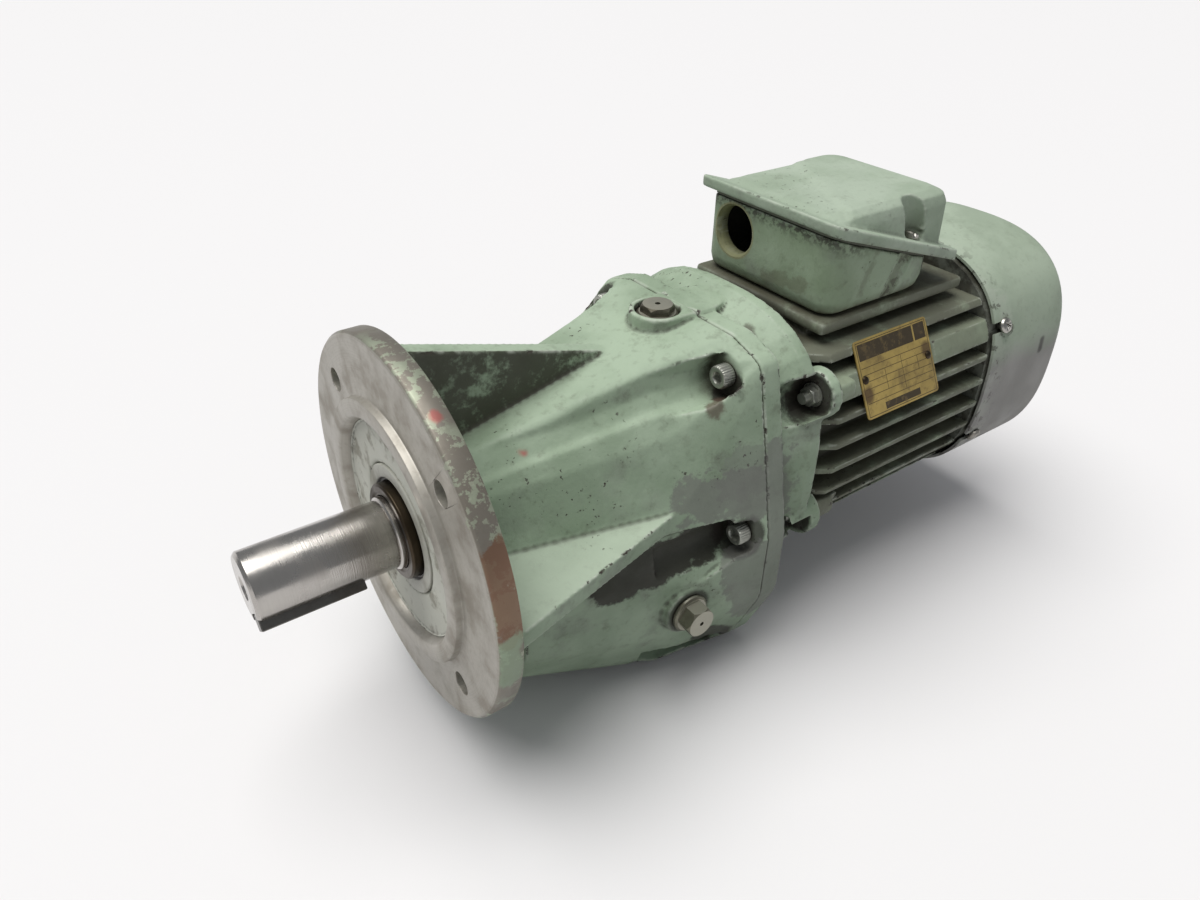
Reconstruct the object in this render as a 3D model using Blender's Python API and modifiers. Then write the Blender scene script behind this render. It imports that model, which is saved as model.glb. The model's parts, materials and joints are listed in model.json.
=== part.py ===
"""In-line brake gear motor with an output flange, as separate castings, shafts, gears and fasteners.

Everything is placed from the centre of the output flange's front face. There X runs along the
shaft towards the motor, Y across and Z up. The empty "gear_motor" carries that frame to its place
over the ground, so that the assembly stands on the underside of its gear case.
"""
from math import acos, atan2, cos, hypot, pi, radians, sin, sqrt, tan

import bmesh
import bpy
from mathutils import Matrix, Vector

# General
FIT = 0.0003                     # clearance between pieces that touch
FLANGE_ROUND = 44                # segments of the flange
ROUND = 24                       # segments of a large turned piece
SMALL_ROUND = 12                 # segments of a small turned piece
RING_ROUND = 20                  # segments of a bearing ring
SQUIRCLE_POINTS = 40             # points round a squircle section
MERGE = 0.00001

# Output flange and gear case
FLANGE_RADIUS = 0.080
FLANGE_THICKNESS = 0.010
FLANGE_CHAMFER = 0.0015
FLANGE_HOLE_RADIUS = 0.005
FLANGE_HOLE_CIRCLE = 0.065       # radius of the circle of holes
FLANGE_RELIEF_RADIUS = 0.009     # room for a nut behind the flange
SPIGOT_RADIUS = 0.055
SPIGOT_HEIGHT = 0.0035
RECESS_RADIUS = 0.0455
RECESS_DEPTH = 0.001             # behind the flange's face
CASE_SPLIT = 0.138               # where the case meets the cover
CASE_BOTTOM = 0.100              # below the shaft
CASE_WALL = 0.005
CASE_MIDDLE = 0.100              # station of the middle section
NECK_START = 0.008
BRIDGE_SHOULDER = 0.0025         # wall in front of the output shaft's rear bearing
WEB_THICKNESS = 0.008
WEB_END = 0.097
TOP_WEB_END_HEIGHT = 0.0525
SIDE_WEB_END_WIDTH = 0.055
SIDE_WEB_DROP = 0.003            # side webs' middle below the shaft

# Case screws, M6 socket heads
SCREW_SHANK_RADIUS = 0.003
SCREW_HEAD_RADIUS = 0.005
SCREW_HEAD_HEIGHT = 0.006
SCREW_SOCKET_RADIUS = 0.0029
SCREW_SOCKET_DEPTH = 0.003
SCREW_SEAT = 0.1315              # station of the seat under the heads
CASE_SCREW_POCKET = 0.0095
POCKET_THROAT = 0.008            # part of a pocket in front of its seat that stays round
VALLEY_START = 0.016             # station where the valley in front of a top screw begins
VALLEY_MARGIN = 0.0015           # from the case's top ridge to the valley
VALLEY_SHARE = 0.68              # of the case's upper slope that the valley takes up
VALLEY_DEPTH = 0.0036            # at CASE_MIDDLE
SCOOP_TOP = -0.0085              # upper edge of the scoop under a side web
SCOOP_OUTSIDE = 0.090
LOW_POCKET_REACH = 0.045
TOP_SCREW_SIDE = 0.041
TOP_SCREW_HEIGHT = 0.048
SIDE_SCREW_SIDE = 0.0605
SIDE_SCREW_HEIGHT = -0.020
LOW_SCREW_SIDE = 0.046
LOW_SCREW_HEIGHT = -0.086

# Oil plugs
PLUG_THREAD_RADIUS = 0.006
PLUG_HOLE_DEPTH = 0.028
PLUG_HEX_RADIUS = 0.0075
PLUG_HEX_HEIGHT = 0.007
PLUG_COLLAR_RADIUS = 0.009
PLUG_COLLAR_HEIGHT = 0.0025
VENT_STATION = 0.1265
VENT_SEAT = 0.0585
VENT_BOSS_RADIUS = 0.0125
VENT_BOSS_HEIGHT = 0.0625
VENT_BOSS_ROOT = 0.052
VENT_RECESS_RADIUS = 0.0098
LEVEL_STATION = 0.101
LEVEL_HEIGHT = -0.050
LEVEL_SEAT = 0.0625
LEVEL_BOSS_RADIUS = 0.0115
DRAIN_STATION = 0.072
DRAIN_HEIGHT = -0.070
DRAIN_SEAT = 0.0580
DRAIN_BOSS_RADIUS = 0.0115

# Cover with the motor's drive end shield cast on
COVER_THICKNESS = 0.0095
SHIELD_HALF = 0.0645
SHIELD_POWER = 2.8
SHIELD_END = 0.168
SHIELD_RIM = 0.007
SHIELD_WALL = 0.006
EAR_SIDE = 0.0535
EAR_HEIGHT = 0.0315
EAR_RADIUS = 0.0115
EAR_START = 0.158
EAR_OVERHANG = 0.009             # past the shield's rear edge
EAR_THICKNESS = 0.006            # under the nuts
EAR_POCKET_RADIUS = 0.0095
EAR_POCKET_OUT = 1.06            # pocket's middle against the stud's, from the axis
STUD_RADIUS = 0.0025
NUT_RADIUS = 0.0048
NUT_HEIGHT = 0.004
STUD_REACH = 0.003               # stud past its nut
STUD_BURIED = 0.010              # thread in the frame's bar

# Stator frame
FRAME_HALF = 0.0625
FRAME_POWER = 2.5
FRAME_END = 0.2885
FRAME_BORE = 0.0480
FRAME_SKIN = 0.0525
FIN_COUNT = 8
FIN_PITCH = 0.013
FIN_LOWEST = -0.0475
FIN_THICKNESS = 0.003
FIN_SLOPE = 0.014                # length of the slope at a fin's front end
BAR_THICKNESS = 0.0105
BELLY_FIN_COUNT = 5
SEAT_TOP = 0.0555                # terminal box seat above the shaft
SEAT_HALF_WIDTH = 0.042
SEAT_START = 0.184
SEAT_END = 0.281
SEAT_THICKNESS = 0.006

# Terminal box and lid
BOX_FRONT = 0.1865
BOX_REAR = 0.2645
BOX_HALF_WIDTH = 0.0405
BOX_WALL = 0.0035
BOX_FRONT_WALL = 0.007
BOX_CORNER = 0.010
BOX_REAR_CORNER = 0.024
BOX_FOOT_HEIGHT = 0.006          # rounded lower edge of the box
BOX_FOOT_INSET = 0.004
PARTING_SLOPE = radians(18.0)
PARTING_FRONT_HEIGHT = 0.0915    # parting plane above the shaft, over BOX_FRONT
LID_OVERHANG = 0.0035
LID_THICKNESS = 0.0049
LID_REAR_OVERHANG = 0.007
LID_BLOCK_TOP = 0.0995
LID_BLOCK_REAR = 0.2665
LID_BLOCK_HALF_WIDTH = 0.0375
LID_BLOCK_INSET = 0.006          # block's start behind the lid's front edge
LID_SHELL = 0.003
GASKET_THICKNESS = 0.001
ENTRY_RADIUS = 0.0112
ENTRY_SIDE = 0.0205
ENTRY_HEIGHT = 0.0778
LID_SCREW_STATION = 0.2390
LID_SCREW_SIDE = 0.0355
LID_NOTCH_RADIUS = 0.0065
LID_NOTCH_LEAN = radians(14.0)   # towards the front, going up
LID_SCREW_HEAD_RADIUS = 0.0035
LID_SCREW_HEAD_HEIGHT = 0.0028
LID_SCREW_SHANK_RADIUS = 0.002
LID_SCREW_LENGTH = 0.016
BOARD_LENGTH = 0.036
BOARD_WIDTH = 0.050
BOARD_THICKNESS = 0.008
BOARD_POST_RADIUS = 0.0022
BOARD_POST_HEIGHT = 0.007

# Rating plate
PLATE_LENGTH = 0.049
PLATE_HEIGHT = 0.0355
PLATE_THICKNESS = 0.0008
PLATE_CORNER = 0.0015
PLATE_MARGIN = 0.001             # fins are cut short this far round it
PLATE_TILT = radians(28.0)       # how far its face looks up
PLATE_DISTANCE = 0.0643          # from the shaft's axis to its back
PLATE_STATION = 0.2213
RIVET_RADIUS = 0.0011
RIVET_HEAD_RADIUS = 0.0020
RIVET_LENGTH = 0.004
RIVET_INSET = 0.003

# Shafts and gears
SHAFT_RADIUS = 0.014
SHAFT_LENGTH = 0.060
SHAFT_CHAMFER = 0.0012
SHAFT_COLLAR_FRONT = -0.0045
SHAFT_BEARING_RADIUS = 0.015
KEY_WIDTH = 0.008
KEY_HEIGHT = 0.007
KEY_DEPTH = 0.004
KEY_LENGTH = 0.040
KEY_ANGLE = radians(50.0)        # below the near side
SLEEVE_RADIUS = 0.020
SLEEVE_FRONT = -0.0030
SEAL_FRONT = 0.0016
SEAL_DEPTH = 0.0075
CENTRE_DISTANCE = 0.051
GEAR_LOW_MODULE = 0.0020
GEAR_LOW_PINION_TEETH = 13
GEAR_LOW_WHEEL_TEETH = 38
GEAR_HIGH_MODULE = 0.0015
GEAR_HIGH_PINION_TEETH = 12
GEAR_HIGH_WHEEL_TEETH = 56
HELIX = radians(9.0)
BACKLASH = 0.00035
LOW_GEAR_FRONT = 0.0720
LOW_GEAR_WIDTH = 0.020
LOW_PINION_EXTRA = 0.002         # pinion past its wheel at each end
HIGH_GEAR_FRONT = 0.1120
HIGH_GEAR_WIDTH = 0.016
HIGH_PINION_EXTRA = 0.0015
OUTPUT_GEAR_SEAT_RADIUS = 0.0175
OUTPUT_REAR_RADIUS = 0.0125
INTERMEDIATE_RADIUS = 0.0095
INTERMEDIATE_JOURNAL_RADIUS = 0.0085
WHEEL_SEAT_RADIUS = 0.011

# Bearings: station of the front face, shaft radius, housing radius, width
OUTPUT_FRONT_BEARING = (0.0110, 0.0150, 0.0275, 0.013)
OUTPUT_REAR_BEARING = (0.0965, 0.0125, 0.0260, 0.012)
INTERMEDIATE_FRONT_BEARING = (0.0480, 0.0085, 0.0200, 0.012)
INTERMEDIATE_REAR_BEARING = (0.1335, 0.0085, 0.0200, 0.012)
MOTOR_FRONT_BEARING = (0.1480, 0.0100, 0.0235, 0.014)
MOTOR_REAR_BEARING = (0.2845, 0.0085, 0.0200, 0.012)

# Motor
MOTOR_SHAFT_RADIUS = 0.0105
MOTOR_PINION_SHAFT_RADIUS = 0.0075
MOTOR_TAIL_RADIUS = 0.0075
CORE_FRONT = 0.203
CORE_LENGTH = 0.050
CORE_BORE = 0.0285
ROTOR_GAP = 0.0005
WINDING_INNER = 0.0310
WINDING_OUTER = 0.0440
WINDING_LENGTH = 0.014

# Brake and fan
BRAKE_SHIELD_THICKNESS = 0.0125
BRAKE_SHIELD_HALF = 0.0608
SHIELD_RELIEF_DEPTH = 0.007
DISC_RADIUS = 0.0455
DISC_THICKNESS = 0.007
DISC_HUB_RADIUS = 0.013
PRESSURE_PLATE_RADIUS = 0.0455
PRESSURE_PLATE_THICKNESS = 0.005
PRESSURE_PLATE_BORE = 0.0165
BRAKE_TRAVEL = 0.0005
COIL_BODY_LENGTH = 0.017
COIL_BODY_RADIUS = 0.0475
COIL_BODY_BORE = 0.019
COIL_POST_RADIUS = 0.0045
COIL_POST_CIRCLE = 0.0530
COIL_POST_COUNT = 3
FAN_RADIUS = 0.0540
FAN_WIDTH = 0.013
FAN_BLADES = 7
FAN_PLATE = 0.002
FAN_BLADE_THICKNESS = 0.0018
FAN_HUB_RADIUS = 0.0125

# Fan cover
COVER_HALF = 0.0635
COVER_POWER = 2.7
COVER_FRONT = 0.2905
COVER_END = 0.3560
COVER_SHELL = 0.0014
COVER_EDGE = 0.009
COVER_SCREW_STATION = 0.2985
COVER_SCREW_ANGLE = radians(28.0)
COVER_SCREW_HEAD_RADIUS = 0.004
COVER_SCREW_HEAD_HEIGHT = 0.0025
COVER_SCREW_SHANK_RADIUS = 0.002
COVER_SCREW_LENGTH = 0.009
COVER_SCREW_SEAT = 0.0675        # outside of the shell there, from the axis
GRILLE_RINGS = 3
GRILLE_INNER = 0.016
GRILLE_PITCH = 0.012
GRILLE_SLOT = 0.005
GRILLE_SLOTS = 6
GRILLE_BRIDGE = radians(14.0)

# Cross sections of the gear case: half outlines from the top to the bottom, as (side, height)
NECK_SECTION = ((0.013, 0.031), (0.026, 0.022), (0.035, -0.002), (0.041, -0.024), (0.040, -0.050), (0.027, -0.074))
MIDDLE_SECTION = ((0.027, 0.053), (0.044, 0.030), (0.056, -0.001), (0.061, -0.032), (0.059, -0.066), (0.046, -0.100))
SPLIT_SECTION = ((0.034, 0.061), (0.0525, 0.055), (0.062, 0.014), (0.0695, -0.022), (0.0695, -0.056), (0.051, -0.100))
SECTION_ROUNDING = (0.006, 0.007, 0.012, 0.015, 0.016, 0.018)
NECK_HOLLOW = ((0.009, 0.022), (0.017, 0.016), (0.025, -0.003), (0.031, -0.024), (0.031, -0.048), (0.020, -0.064))
MIDDLE_HOLLOW = ((0.020, 0.044), (0.034, 0.024), (0.044, 0.000), (0.044, -0.020), (0.048, -0.060), (0.037, -0.092))
SPLIT_HOLLOW = ((0.022, 0.050), (0.031, 0.033), (0.043, 0.006), (0.045, -0.022), (0.057, -0.052), (0.042, -0.094))
SCOOP_SECTIONS = (               # station, upper side, lower side, lower height
    (0.044, 0.0500, 0.0530, -0.024),
    (0.060, 0.0480, 0.0540, -0.032),
    (0.100, 0.0545, 0.0620, -0.040),
    (0.122, 0.0525, 0.0610, -0.029),
)
HOLLOW_START = 0.030
GEAR_ROOM = 0.0015               # between the tips of a wheel and the case


# Derived sizes
def arm(teeth, module):
    """Pitch radius of a gear."""
    return teeth * module / 2


COVER_PLATE_START = CASE_SPLIT + FIT
COVER_PLATE_END = COVER_PLATE_START + COVER_THICKNESS
FRAME_START = SHIELD_END + FIT
EAR_REAR = SHIELD_END + EAR_OVERHANG
EAR_SEAT = EAR_REAR - EAR_THICKNESS
PARTING_SINK = tan(PARTING_SLOPE)
BOX_FLOOR = SEAT_TOP + FIT
BRAKE_SHIELD_FRONT = FRAME_END + FIT
BRAKE_SHIELD_REAR = BRAKE_SHIELD_FRONT + BRAKE_SHIELD_THICKNESS
DISC_FRONT = BRAKE_SHIELD_REAR + FIT
PLATE_FRONT = DISC_FRONT + DISC_THICKNESS + FIT
PLATE_REAR = PLATE_FRONT + PRESSURE_PLATE_THICKNESS
COIL_FRONT = PLATE_REAR + BRAKE_TRAVEL + FIT
COIL_REAR = COIL_FRONT + COIL_BODY_LENGTH
FAN_FRONT = COIL_REAR + 0.001
MOTOR_TAIL_END = FAN_FRONT + FAN_WIDTH
LENGTH_OVERALL = SHAFT_LENGTH + COVER_END
AXIS_HEIGHT = CASE_BOTTOM
FACE_STATION = SHAFT_LENGTH - LENGTH_OVERALL / 2
INTERMEDIATE_AXIS = (0.0, 0.0, -CENTRE_DISTANCE)

for old in list(bpy.data.objects):
    bpy.data.objects.remove(old, do_unlink=True)

PARTS = bpy.data.collections.new("brake_gear_motor")
CUTTERS = bpy.data.collections.new("cutters")
bpy.context.scene.collection.children.link(PARTS)
bpy.context.scene.collection.children.link(CUTTERS)


def paint(name, colour, roughness, metallic=0.0):
    """A plain Principled material."""
    material = bpy.data.materials.new(name)
    material.use_nodes = True
    shader = material.node_tree.nodes["Principled BSDF"]
    shader.inputs["Base Color"].default_value = (*colour, 1.0)
    shader.inputs["Roughness"].default_value = roughness
    shader.inputs["Metallic"].default_value = metallic
    material.diffuse_color = (*colour, 1.0)
    return material


GREEN_PAINT = paint("green_paint", (0.36, 0.46, 0.35), 0.45)
CAST_IRON = paint("machined_iron", (0.30, 0.29, 0.26), 0.45, 1.0)
BRIGHT_STEEL = paint("bright_steel", (0.55, 0.54, 0.51), 0.28, 1.0)
DARK_STEEL = paint("dark_steel", (0.12, 0.12, 0.12), 0.45, 1.0)
ZINC = paint("zinc_plated", (0.50, 0.50, 0.48), 0.35, 1.0)
BRASS = paint("brass", (0.55, 0.42, 0.15), 0.40, 1.0)
BRONZE = paint("bronze", (0.30, 0.18, 0.08), 0.40, 1.0)
COPPER = paint("varnished_copper", (0.35, 0.12, 0.05), 0.45, 0.6)
LAMINATION = paint("laminated_steel", (0.22, 0.22, 0.23), 0.50, 1.0)
ALUMINIUM = paint("cast_aluminium", (0.60, 0.60, 0.60), 0.50, 1.0)
RUBBER = paint("black_rubber", (0.03, 0.03, 0.03), 0.75)
MOULDING = paint("brown_moulding", (0.10, 0.06, 0.04), 0.50)
LINING = paint("brake_lining", (0.08, 0.07, 0.06), 0.80)
PLASTIC = paint("black_plastic", (0.02, 0.02, 0.02), 0.50)


def empty(name, location, parent=None):
    """An empty that carries pieces."""
    holder = bpy.data.objects.new(name, None)
    holder.location = location
    holder.parent = parent
    holder.empty_display_size = 0.02
    PARTS.objects.link(holder)
    return holder


MOTOR_FRAME = empty("gear_motor", (FACE_STATION, 0.0, AXIS_HEIGHT))
MAIN_AXIS = empty("main_axis", (0.0, 0.0, 0.0), MOTOR_FRAME)
LOWER_AXIS = empty("intermediate_axis", INTERMEDIATE_AXIS, MOTOR_FRAME)


def place(name, mesh, material, parent=MOTOR_FRAME, matrix=None):
    """Make an object of a mesh."""
    thing = bpy.data.objects.new(name, mesh)
    mesh.materials.clear()
    mesh.materials.append(material)
    thing.parent = parent
    if matrix is not None:
        thing.matrix_basis = matrix
    PARTS.objects.link(thing)
    return thing


def hide(thing, group):
    """Turn an object into a hidden cutter or filler."""
    PARTS.objects.unlink(thing)
    group.objects.link(thing)
    thing.hide_render = True
    thing.display_type = "WIRE"
    return thing


def combine(target, tool, operation):
    """Add a hidden tool to the target's exact Boolean of this kind, which takes a collection of tools."""
    label = target.name + "_" + operation.lower()
    modifier = target.modifiers.get(label)
    if modifier is None:
        group = bpy.data.collections.new(label)
        CUTTERS.children.link(group)
        modifier = target.modifiers.new(label, "BOOLEAN")
        modifier.operand_type = "COLLECTION"
        modifier.collection = group
        modifier.operation = operation
        modifier.solver = "EXACT"
    hide(tool, modifier.collection)
    return target


def cut(target, tool):
    """Take a tool's shape away; every join of a target comes before its cuts."""
    return combine(target, tool, "DIFFERENCE")


def join(target, tool):
    """Add a tool's shape."""
    return combine(target, tool, "UNION")


def bare_mesh(name, build):
    """A mesh from a function that fills a bmesh."""
    work = bmesh.new()
    build(work)
    bmesh.ops.recalc_face_normals(work, faces=work.faces)
    mesh = bpy.data.meshes.new(name)
    work.to_mesh(mesh)
    work.free()
    mesh.shade_smooth()
    mesh.set_sharp_from_angle(angle=radians(30))
    return mesh


def loft(name, rings, material, parent=MOTOR_FRAME, closed=True):
    """Skin a row of rings of points, which all have as many points."""
    def build(work):
        loops = [[work.verts.new(point) for point in ring] for ring in rings]
        for front, rear in zip(loops, loops[1:]):
            for index, corner in enumerate(front):
                following = (index + 1) % len(front)
                work.faces.new((corner, front[following], rear[following], rear[index]))
        bmesh.ops.connect_verts_nonplanar(work, angle_limit=radians(0.05), faces=work.faces)
        if closed:
            work.faces.new(loops[0])
        work.faces.new(loops[-1])
    return place(name, bare_mesh(name, build), material, parent)


def turned(name, profile, material, parent=MAIN_AXIS, segments=ROUND, station=0.0, hollow=False):
    """Turn (station, radius) points about X; they run from the rear along the outside to the front."""
    mesh = bpy.data.meshes.new(name)
    points = [(radius, 0.0, along) for along, radius in profile]
    edges = [(index, index + 1) for index in range(len(points) - 1)]
    if hollow:
        edges.append((len(points) - 1, 0))
    mesh.from_pydata(points, edges, [])
    thing = place(name, mesh, material, parent)
    thing.location.x = station
    thing.rotation_euler = (0.0, pi / 2, 0.0)
    screw = thing.modifiers.new("turn", "SCREW")
    screw.axis = "Z"
    screw.steps = segments
    screw.render_steps = segments
    screw.use_merge_vertices = True
    screw.merge_threshold = MERGE
    screw.use_smooth_shade = True
    return thing


def rod(name, front, rear, radius, material=GREEN_PAINT, parent=MAIN_AXIS, segments=ROUND):
    """A plain bar along X."""
    return turned(name, [(rear, 0.0), (rear, radius), (front, radius), (front, 0.0)], material, parent, segments)


def tube_profile(front, rear, inner, outer):
    """Closed profile of a ring."""
    return [(rear, outer), (front, outer), (front, inner), (rear, inner)]


def peg(name, start, direction, radius, length, segments=SMALL_ROUND, tip=None, parent=MOTOR_FRAME):
    """A cylinder or cone from a point along a direction."""
    def build(work):
        end = radius if tip is None else tip
        bmesh.ops.create_cone(
            work, cap_ends=True, segments=segments, radius1=radius, radius2=end, depth=length,
            matrix=Matrix.Translation((0.0, 0.0, length / 2)))
    turn = Vector(direction).to_track_quat("Z", "Y").to_matrix().to_4x4()
    return place(name, bare_mesh(name, build), GREEN_PAINT, parent, Matrix.Translation(start) @ turn)


def block(name, low, high, material=GREEN_PAINT, parent=MOTOR_FRAME, bevel=0.0, segments=2):
    """A box between two corners."""
    size = [b - a for a, b in zip(low, high)]
    middle = [(a + b) / 2 for a, b in zip(low, high)]

    def build(work):
        bmesh.ops.create_cube(work, size=1.0)
        bmesh.ops.scale(work, vec=size, verts=work.verts)
    thing = place(name, bare_mesh(name, build), material, parent, Matrix.Translation(middle))
    if bevel:
        edge = thing.modifiers.new("edges", "BEVEL")
        edge.width = bevel
        edge.segments = segments
    return thing


def slab(name, outline, thickness, matrix, material=GREEN_PAINT, parent=MOTOR_FRAME):
    """A flat outline given thickness both ways from its plane, as a mesh."""
    curve = bpy.data.curves.new(name + "_outline", "CURVE")
    curve.dimensions = "2D"
    curve.fill_mode = "BOTH"
    curve.extrude = thickness / 2
    spline = curve.splines.new("POLY")
    spline.points.add(len(outline) - 1)
    for point, (u, v) in zip(spline.points, outline):
        point.co = (u, v, 0.0, 1.0)
    spline.use_cyclic_u = True
    source = bpy.data.objects.new(name + "_curve", curve)
    CUTTERS.objects.link(source)
    bpy.context.view_layer.update()
    mesh = bpy.data.meshes.new_from_object(source.evaluated_get(bpy.context.evaluated_depsgraph_get()))
    bpy.data.objects.remove(source, do_unlink=True)
    work = bmesh.new()
    work.from_mesh(mesh)
    bmesh.ops.remove_doubles(work, verts=work.verts, dist=MERGE)
    bmesh.ops.recalc_face_normals(work, faces=work.faces)
    work.to_mesh(mesh)
    work.free()
    return place(name, mesh, material, parent, matrix)


def arc_corner(before, corner, after, radius, steps):
    """Points that round one corner of an outline."""
    into = (Vector(before) - Vector(corner)).normalized()
    away = (Vector(after) - Vector(corner)).normalized()
    half = acos(max(-1.0, min(1.0, into.dot(away)))) / 2
    reach = radius / tan(half)
    centre = Vector(corner) + (into + away).normalized() * (radius / sin(half))
    first = Vector(corner) + into * reach - centre
    last = Vector(corner) + away * reach - centre
    start = atan2(first.y, first.x)
    sweep = atan2(last.y, last.x) - start
    sweep = (sweep + pi) % (2 * pi) - pi
    return [centre + radius * Vector((cos(start + sweep * step / steps), sin(start + sweep * step / steps)))
            for step in range(steps + 1)]


def rounded(outline, radii, steps):
    """A closed outline with its corners rounded."""
    points = []
    count = len(outline)
    for index, corner in enumerate(outline):
        points += arc_corner(outline[index - 1], corner, outline[(index + 1) % count], radii[index], steps)
    return points


def mirrored_section(half, radii=SECTION_ROUNDING, steps=2):
    """A whole section of the case from its half outline, as (side, height) points."""
    outline = list(half) + [(-side, height) for side, height in reversed(half)]
    return rounded(outline, list(radii) + list(reversed(radii)), steps)


def ring_at(station, section):
    """Lift a (side, height) section to a station along the shaft."""
    return [(station, side, height) for side, height in section]


def squircle(half, power, count=SQUIRCLE_POINTS):
    """A round cornered square between a circle and a square, as (side, height) points."""
    points = []
    for step in range(count):
        angle = 2 * pi * step / count
        reach = half / (abs(cos(angle)) ** power + abs(sin(angle)) ** power) ** (1 / power)
        points.append((reach * cos(angle), reach * sin(angle)))
    return points


def squircle_loft(name, stations, power, material, closed=True):
    """Skin squircles given as (station, half width)."""
    return loft(name, [ring_at(at, squircle(half, power)) for at, half in stations], material, closed=closed)


def four_ways(side, height):
    """A point repeated in the four quarters."""
    return [(across * side, up * height) for up in (1, -1) for across in (1, -1)]


def tooth_outline(teeth, module, turn, flank_steps=1):
    """Outline of an involute gear; a tooth's middle lies at the angle turn."""
    pitch = arm(teeth, module)
    base = pitch * cos(radians(20))
    tip = pitch + module * 0.96
    root = pitch - module * 1.24
    half_at_pitch = pi / (2 * teeth) - BACKLASH / (4 * pitch)
    involute_at_pitch = tan(radians(20)) - radians(20)
    start = max(base, root + module * 0.15)
    points = []
    for tooth in range(teeth):
        middle = turn + 2 * pi * tooth / teeth
        flank = []
        for step in range(flank_steps + 1):
            radius = start + (tip - start) * step / flank_steps
            pressure = acos(min(1.0, base / radius))
            half = half_at_pitch + involute_at_pitch - (tan(pressure) - pressure)
            flank.append((radius, half))
        rising = [(root, flank[0][1] * 1.15)] + flank
        points += [(radius * cos(middle - half), radius * sin(middle - half)) for radius, half in rising]
        points += [(radius * cos(middle + half), radius * sin(middle + half)) for radius, half in reversed(rising)]
    return points


def gear_blank(name, teeth, module, turn, front, width, hand, material, parent):
    """A helical gear without a bore, as a twisted loft."""
    twist = hand * width * tan(HELIX) / arm(teeth, module)
    rings = []
    for share in (0.0, 1.0):
        outline = tooth_outline(teeth, module, turn + twist * (share - 0.5))
        rings.append([(front + width * share, side, height) for side, height in outline])
    return loft(name, rings, material, parent)


def bearing(name, sizes, parent=MAIN_AXIS):
    """Outer and inner ring of a ball bearing, with the groove between them open."""
    front, shaft, housing, width = sizes
    rear = front + width
    gap = (housing - shaft) * 0.10
    middle = (housing + shaft) / 2
    outer = tube_profile(front, rear, middle + gap, housing - FIT)
    inner = tube_profile(front, rear, shaft + FIT, middle - gap)
    turned(name + "_outer_ring", outer, BRIGHT_STEEL, parent, RING_ROUND, hollow=True)
    return turned(name + "_inner_ring", inner, BRIGHT_STEEL, parent, RING_ROUND, hollow=True)


def bore(name, front, rear, radius, parent=MAIN_AXIS, segments=ROUND):
    """A cutter along X."""
    return rod(name, front, rear, radius, parent=parent, segments=segments)


def seat_of(sizes):
    """Front, rear and radius of the hole that a bearing sits in."""
    return sizes[0] - FIT, sizes[0] + sizes[3] + FIT, sizes[2]


CASE_SCREWS = (
    four_ways(TOP_SCREW_SIDE, TOP_SCREW_HEIGHT)[:2]
    + four_ways(SIDE_SCREW_SIDE, SIDE_SCREW_HEIGHT)[:2]
    + four_ways(LOW_SCREW_SIDE, LOW_SCREW_HEIGHT)[:2])
EARS = four_ways(EAR_SIDE, EAR_HEIGHT)


def flange_profile():
    """Solid of the output flange with its spigot, front recess and rim chamfers."""
    return [
        (FLANGE_THICKNESS + 0.004, 0.0),
        (FLANGE_THICKNESS + 0.004, 0.036),
        (FLANGE_THICKNESS, 0.042),
        (FLANGE_THICKNESS, FLANGE_RADIUS),
        (FLANGE_CHAMFER, FLANGE_RADIUS),
        (0.0, FLANGE_RADIUS - FLANGE_CHAMFER),
        (0.0, SPIGOT_RADIUS),
        (-SPIGOT_HEIGHT + 0.0005, SPIGOT_RADIUS),
        (-SPIGOT_HEIGHT, SPIGOT_RADIUS - 0.0005),
        (-SPIGOT_HEIGHT, RECESS_RADIUS + 0.002),
        (RECESS_DEPTH, RECESS_RADIUS),
        (RECESS_DEPTH, 0.0),
    ]


def side_web(name, across):
    """Triangular web between the flange and the side of the case."""
    outline = [
        (FLANGE_THICKNESS - 0.002, across * 0.020),
        (FLANGE_THICKNESS - 0.002, across * (FLANGE_RADIUS - 0.002)),
        (WEB_END, across * SIDE_WEB_END_WIDTH),
        (WEB_END, across * 0.020),
    ]
    return slab(name, outline, WEB_THICKNESS, Matrix.Translation((0.0, 0.0, -SIDE_WEB_DROP)))


def top_web():
    """Triangular web between the flange and the top of the case."""
    outline = [
        (FLANGE_THICKNESS - 0.002, 0.010),
        (FLANGE_THICKNESS - 0.002, FLANGE_RADIUS - 0.002),
        (WEB_END, TOP_WEB_END_HEIGHT),
        (WEB_END, 0.010),
    ]
    return slab("top_web", outline, WEB_THICKNESS, Matrix.Rotation(pi / 2, 4, "X"))


def case_hollow():
    """Inside of the gear case, with the bearing bosses left standing."""
    rings = [
        ring_at(HOLLOW_START, mirrored_section(NECK_HOLLOW, steps=1)),
        ring_at(CASE_MIDDLE, mirrored_section(MIDDLE_HOLLOW, steps=1)),
        ring_at(CASE_SPLIT + 0.001, mirrored_section(SPLIT_HOLLOW, steps=1)),
    ]
    hollow = loft("case_hollow", rings, CAST_IRON)
    front, rear, radius = seat_of(OUTPUT_FRONT_BEARING)
    cut(hollow, bore("front_boss", 0.0, rear + 0.003, radius + CASE_WALL))
    front, rear, radius = seat_of(INTERMEDIATE_FRONT_BEARING)
    cut(hollow, bore("lower_boss", 0.0, rear, radius + CASE_WALL, LOWER_AXIS))
    front, rear, radius = seat_of(OUTPUT_REAR_BEARING)
    bridge_floor = -radius - CASE_WALL
    cut(hollow, block("bearing_bridge", (front - BRIDGE_SHOULDER, -0.070, bridge_floor), (rear, 0.070, 0.070)))
    return hollow


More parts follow.
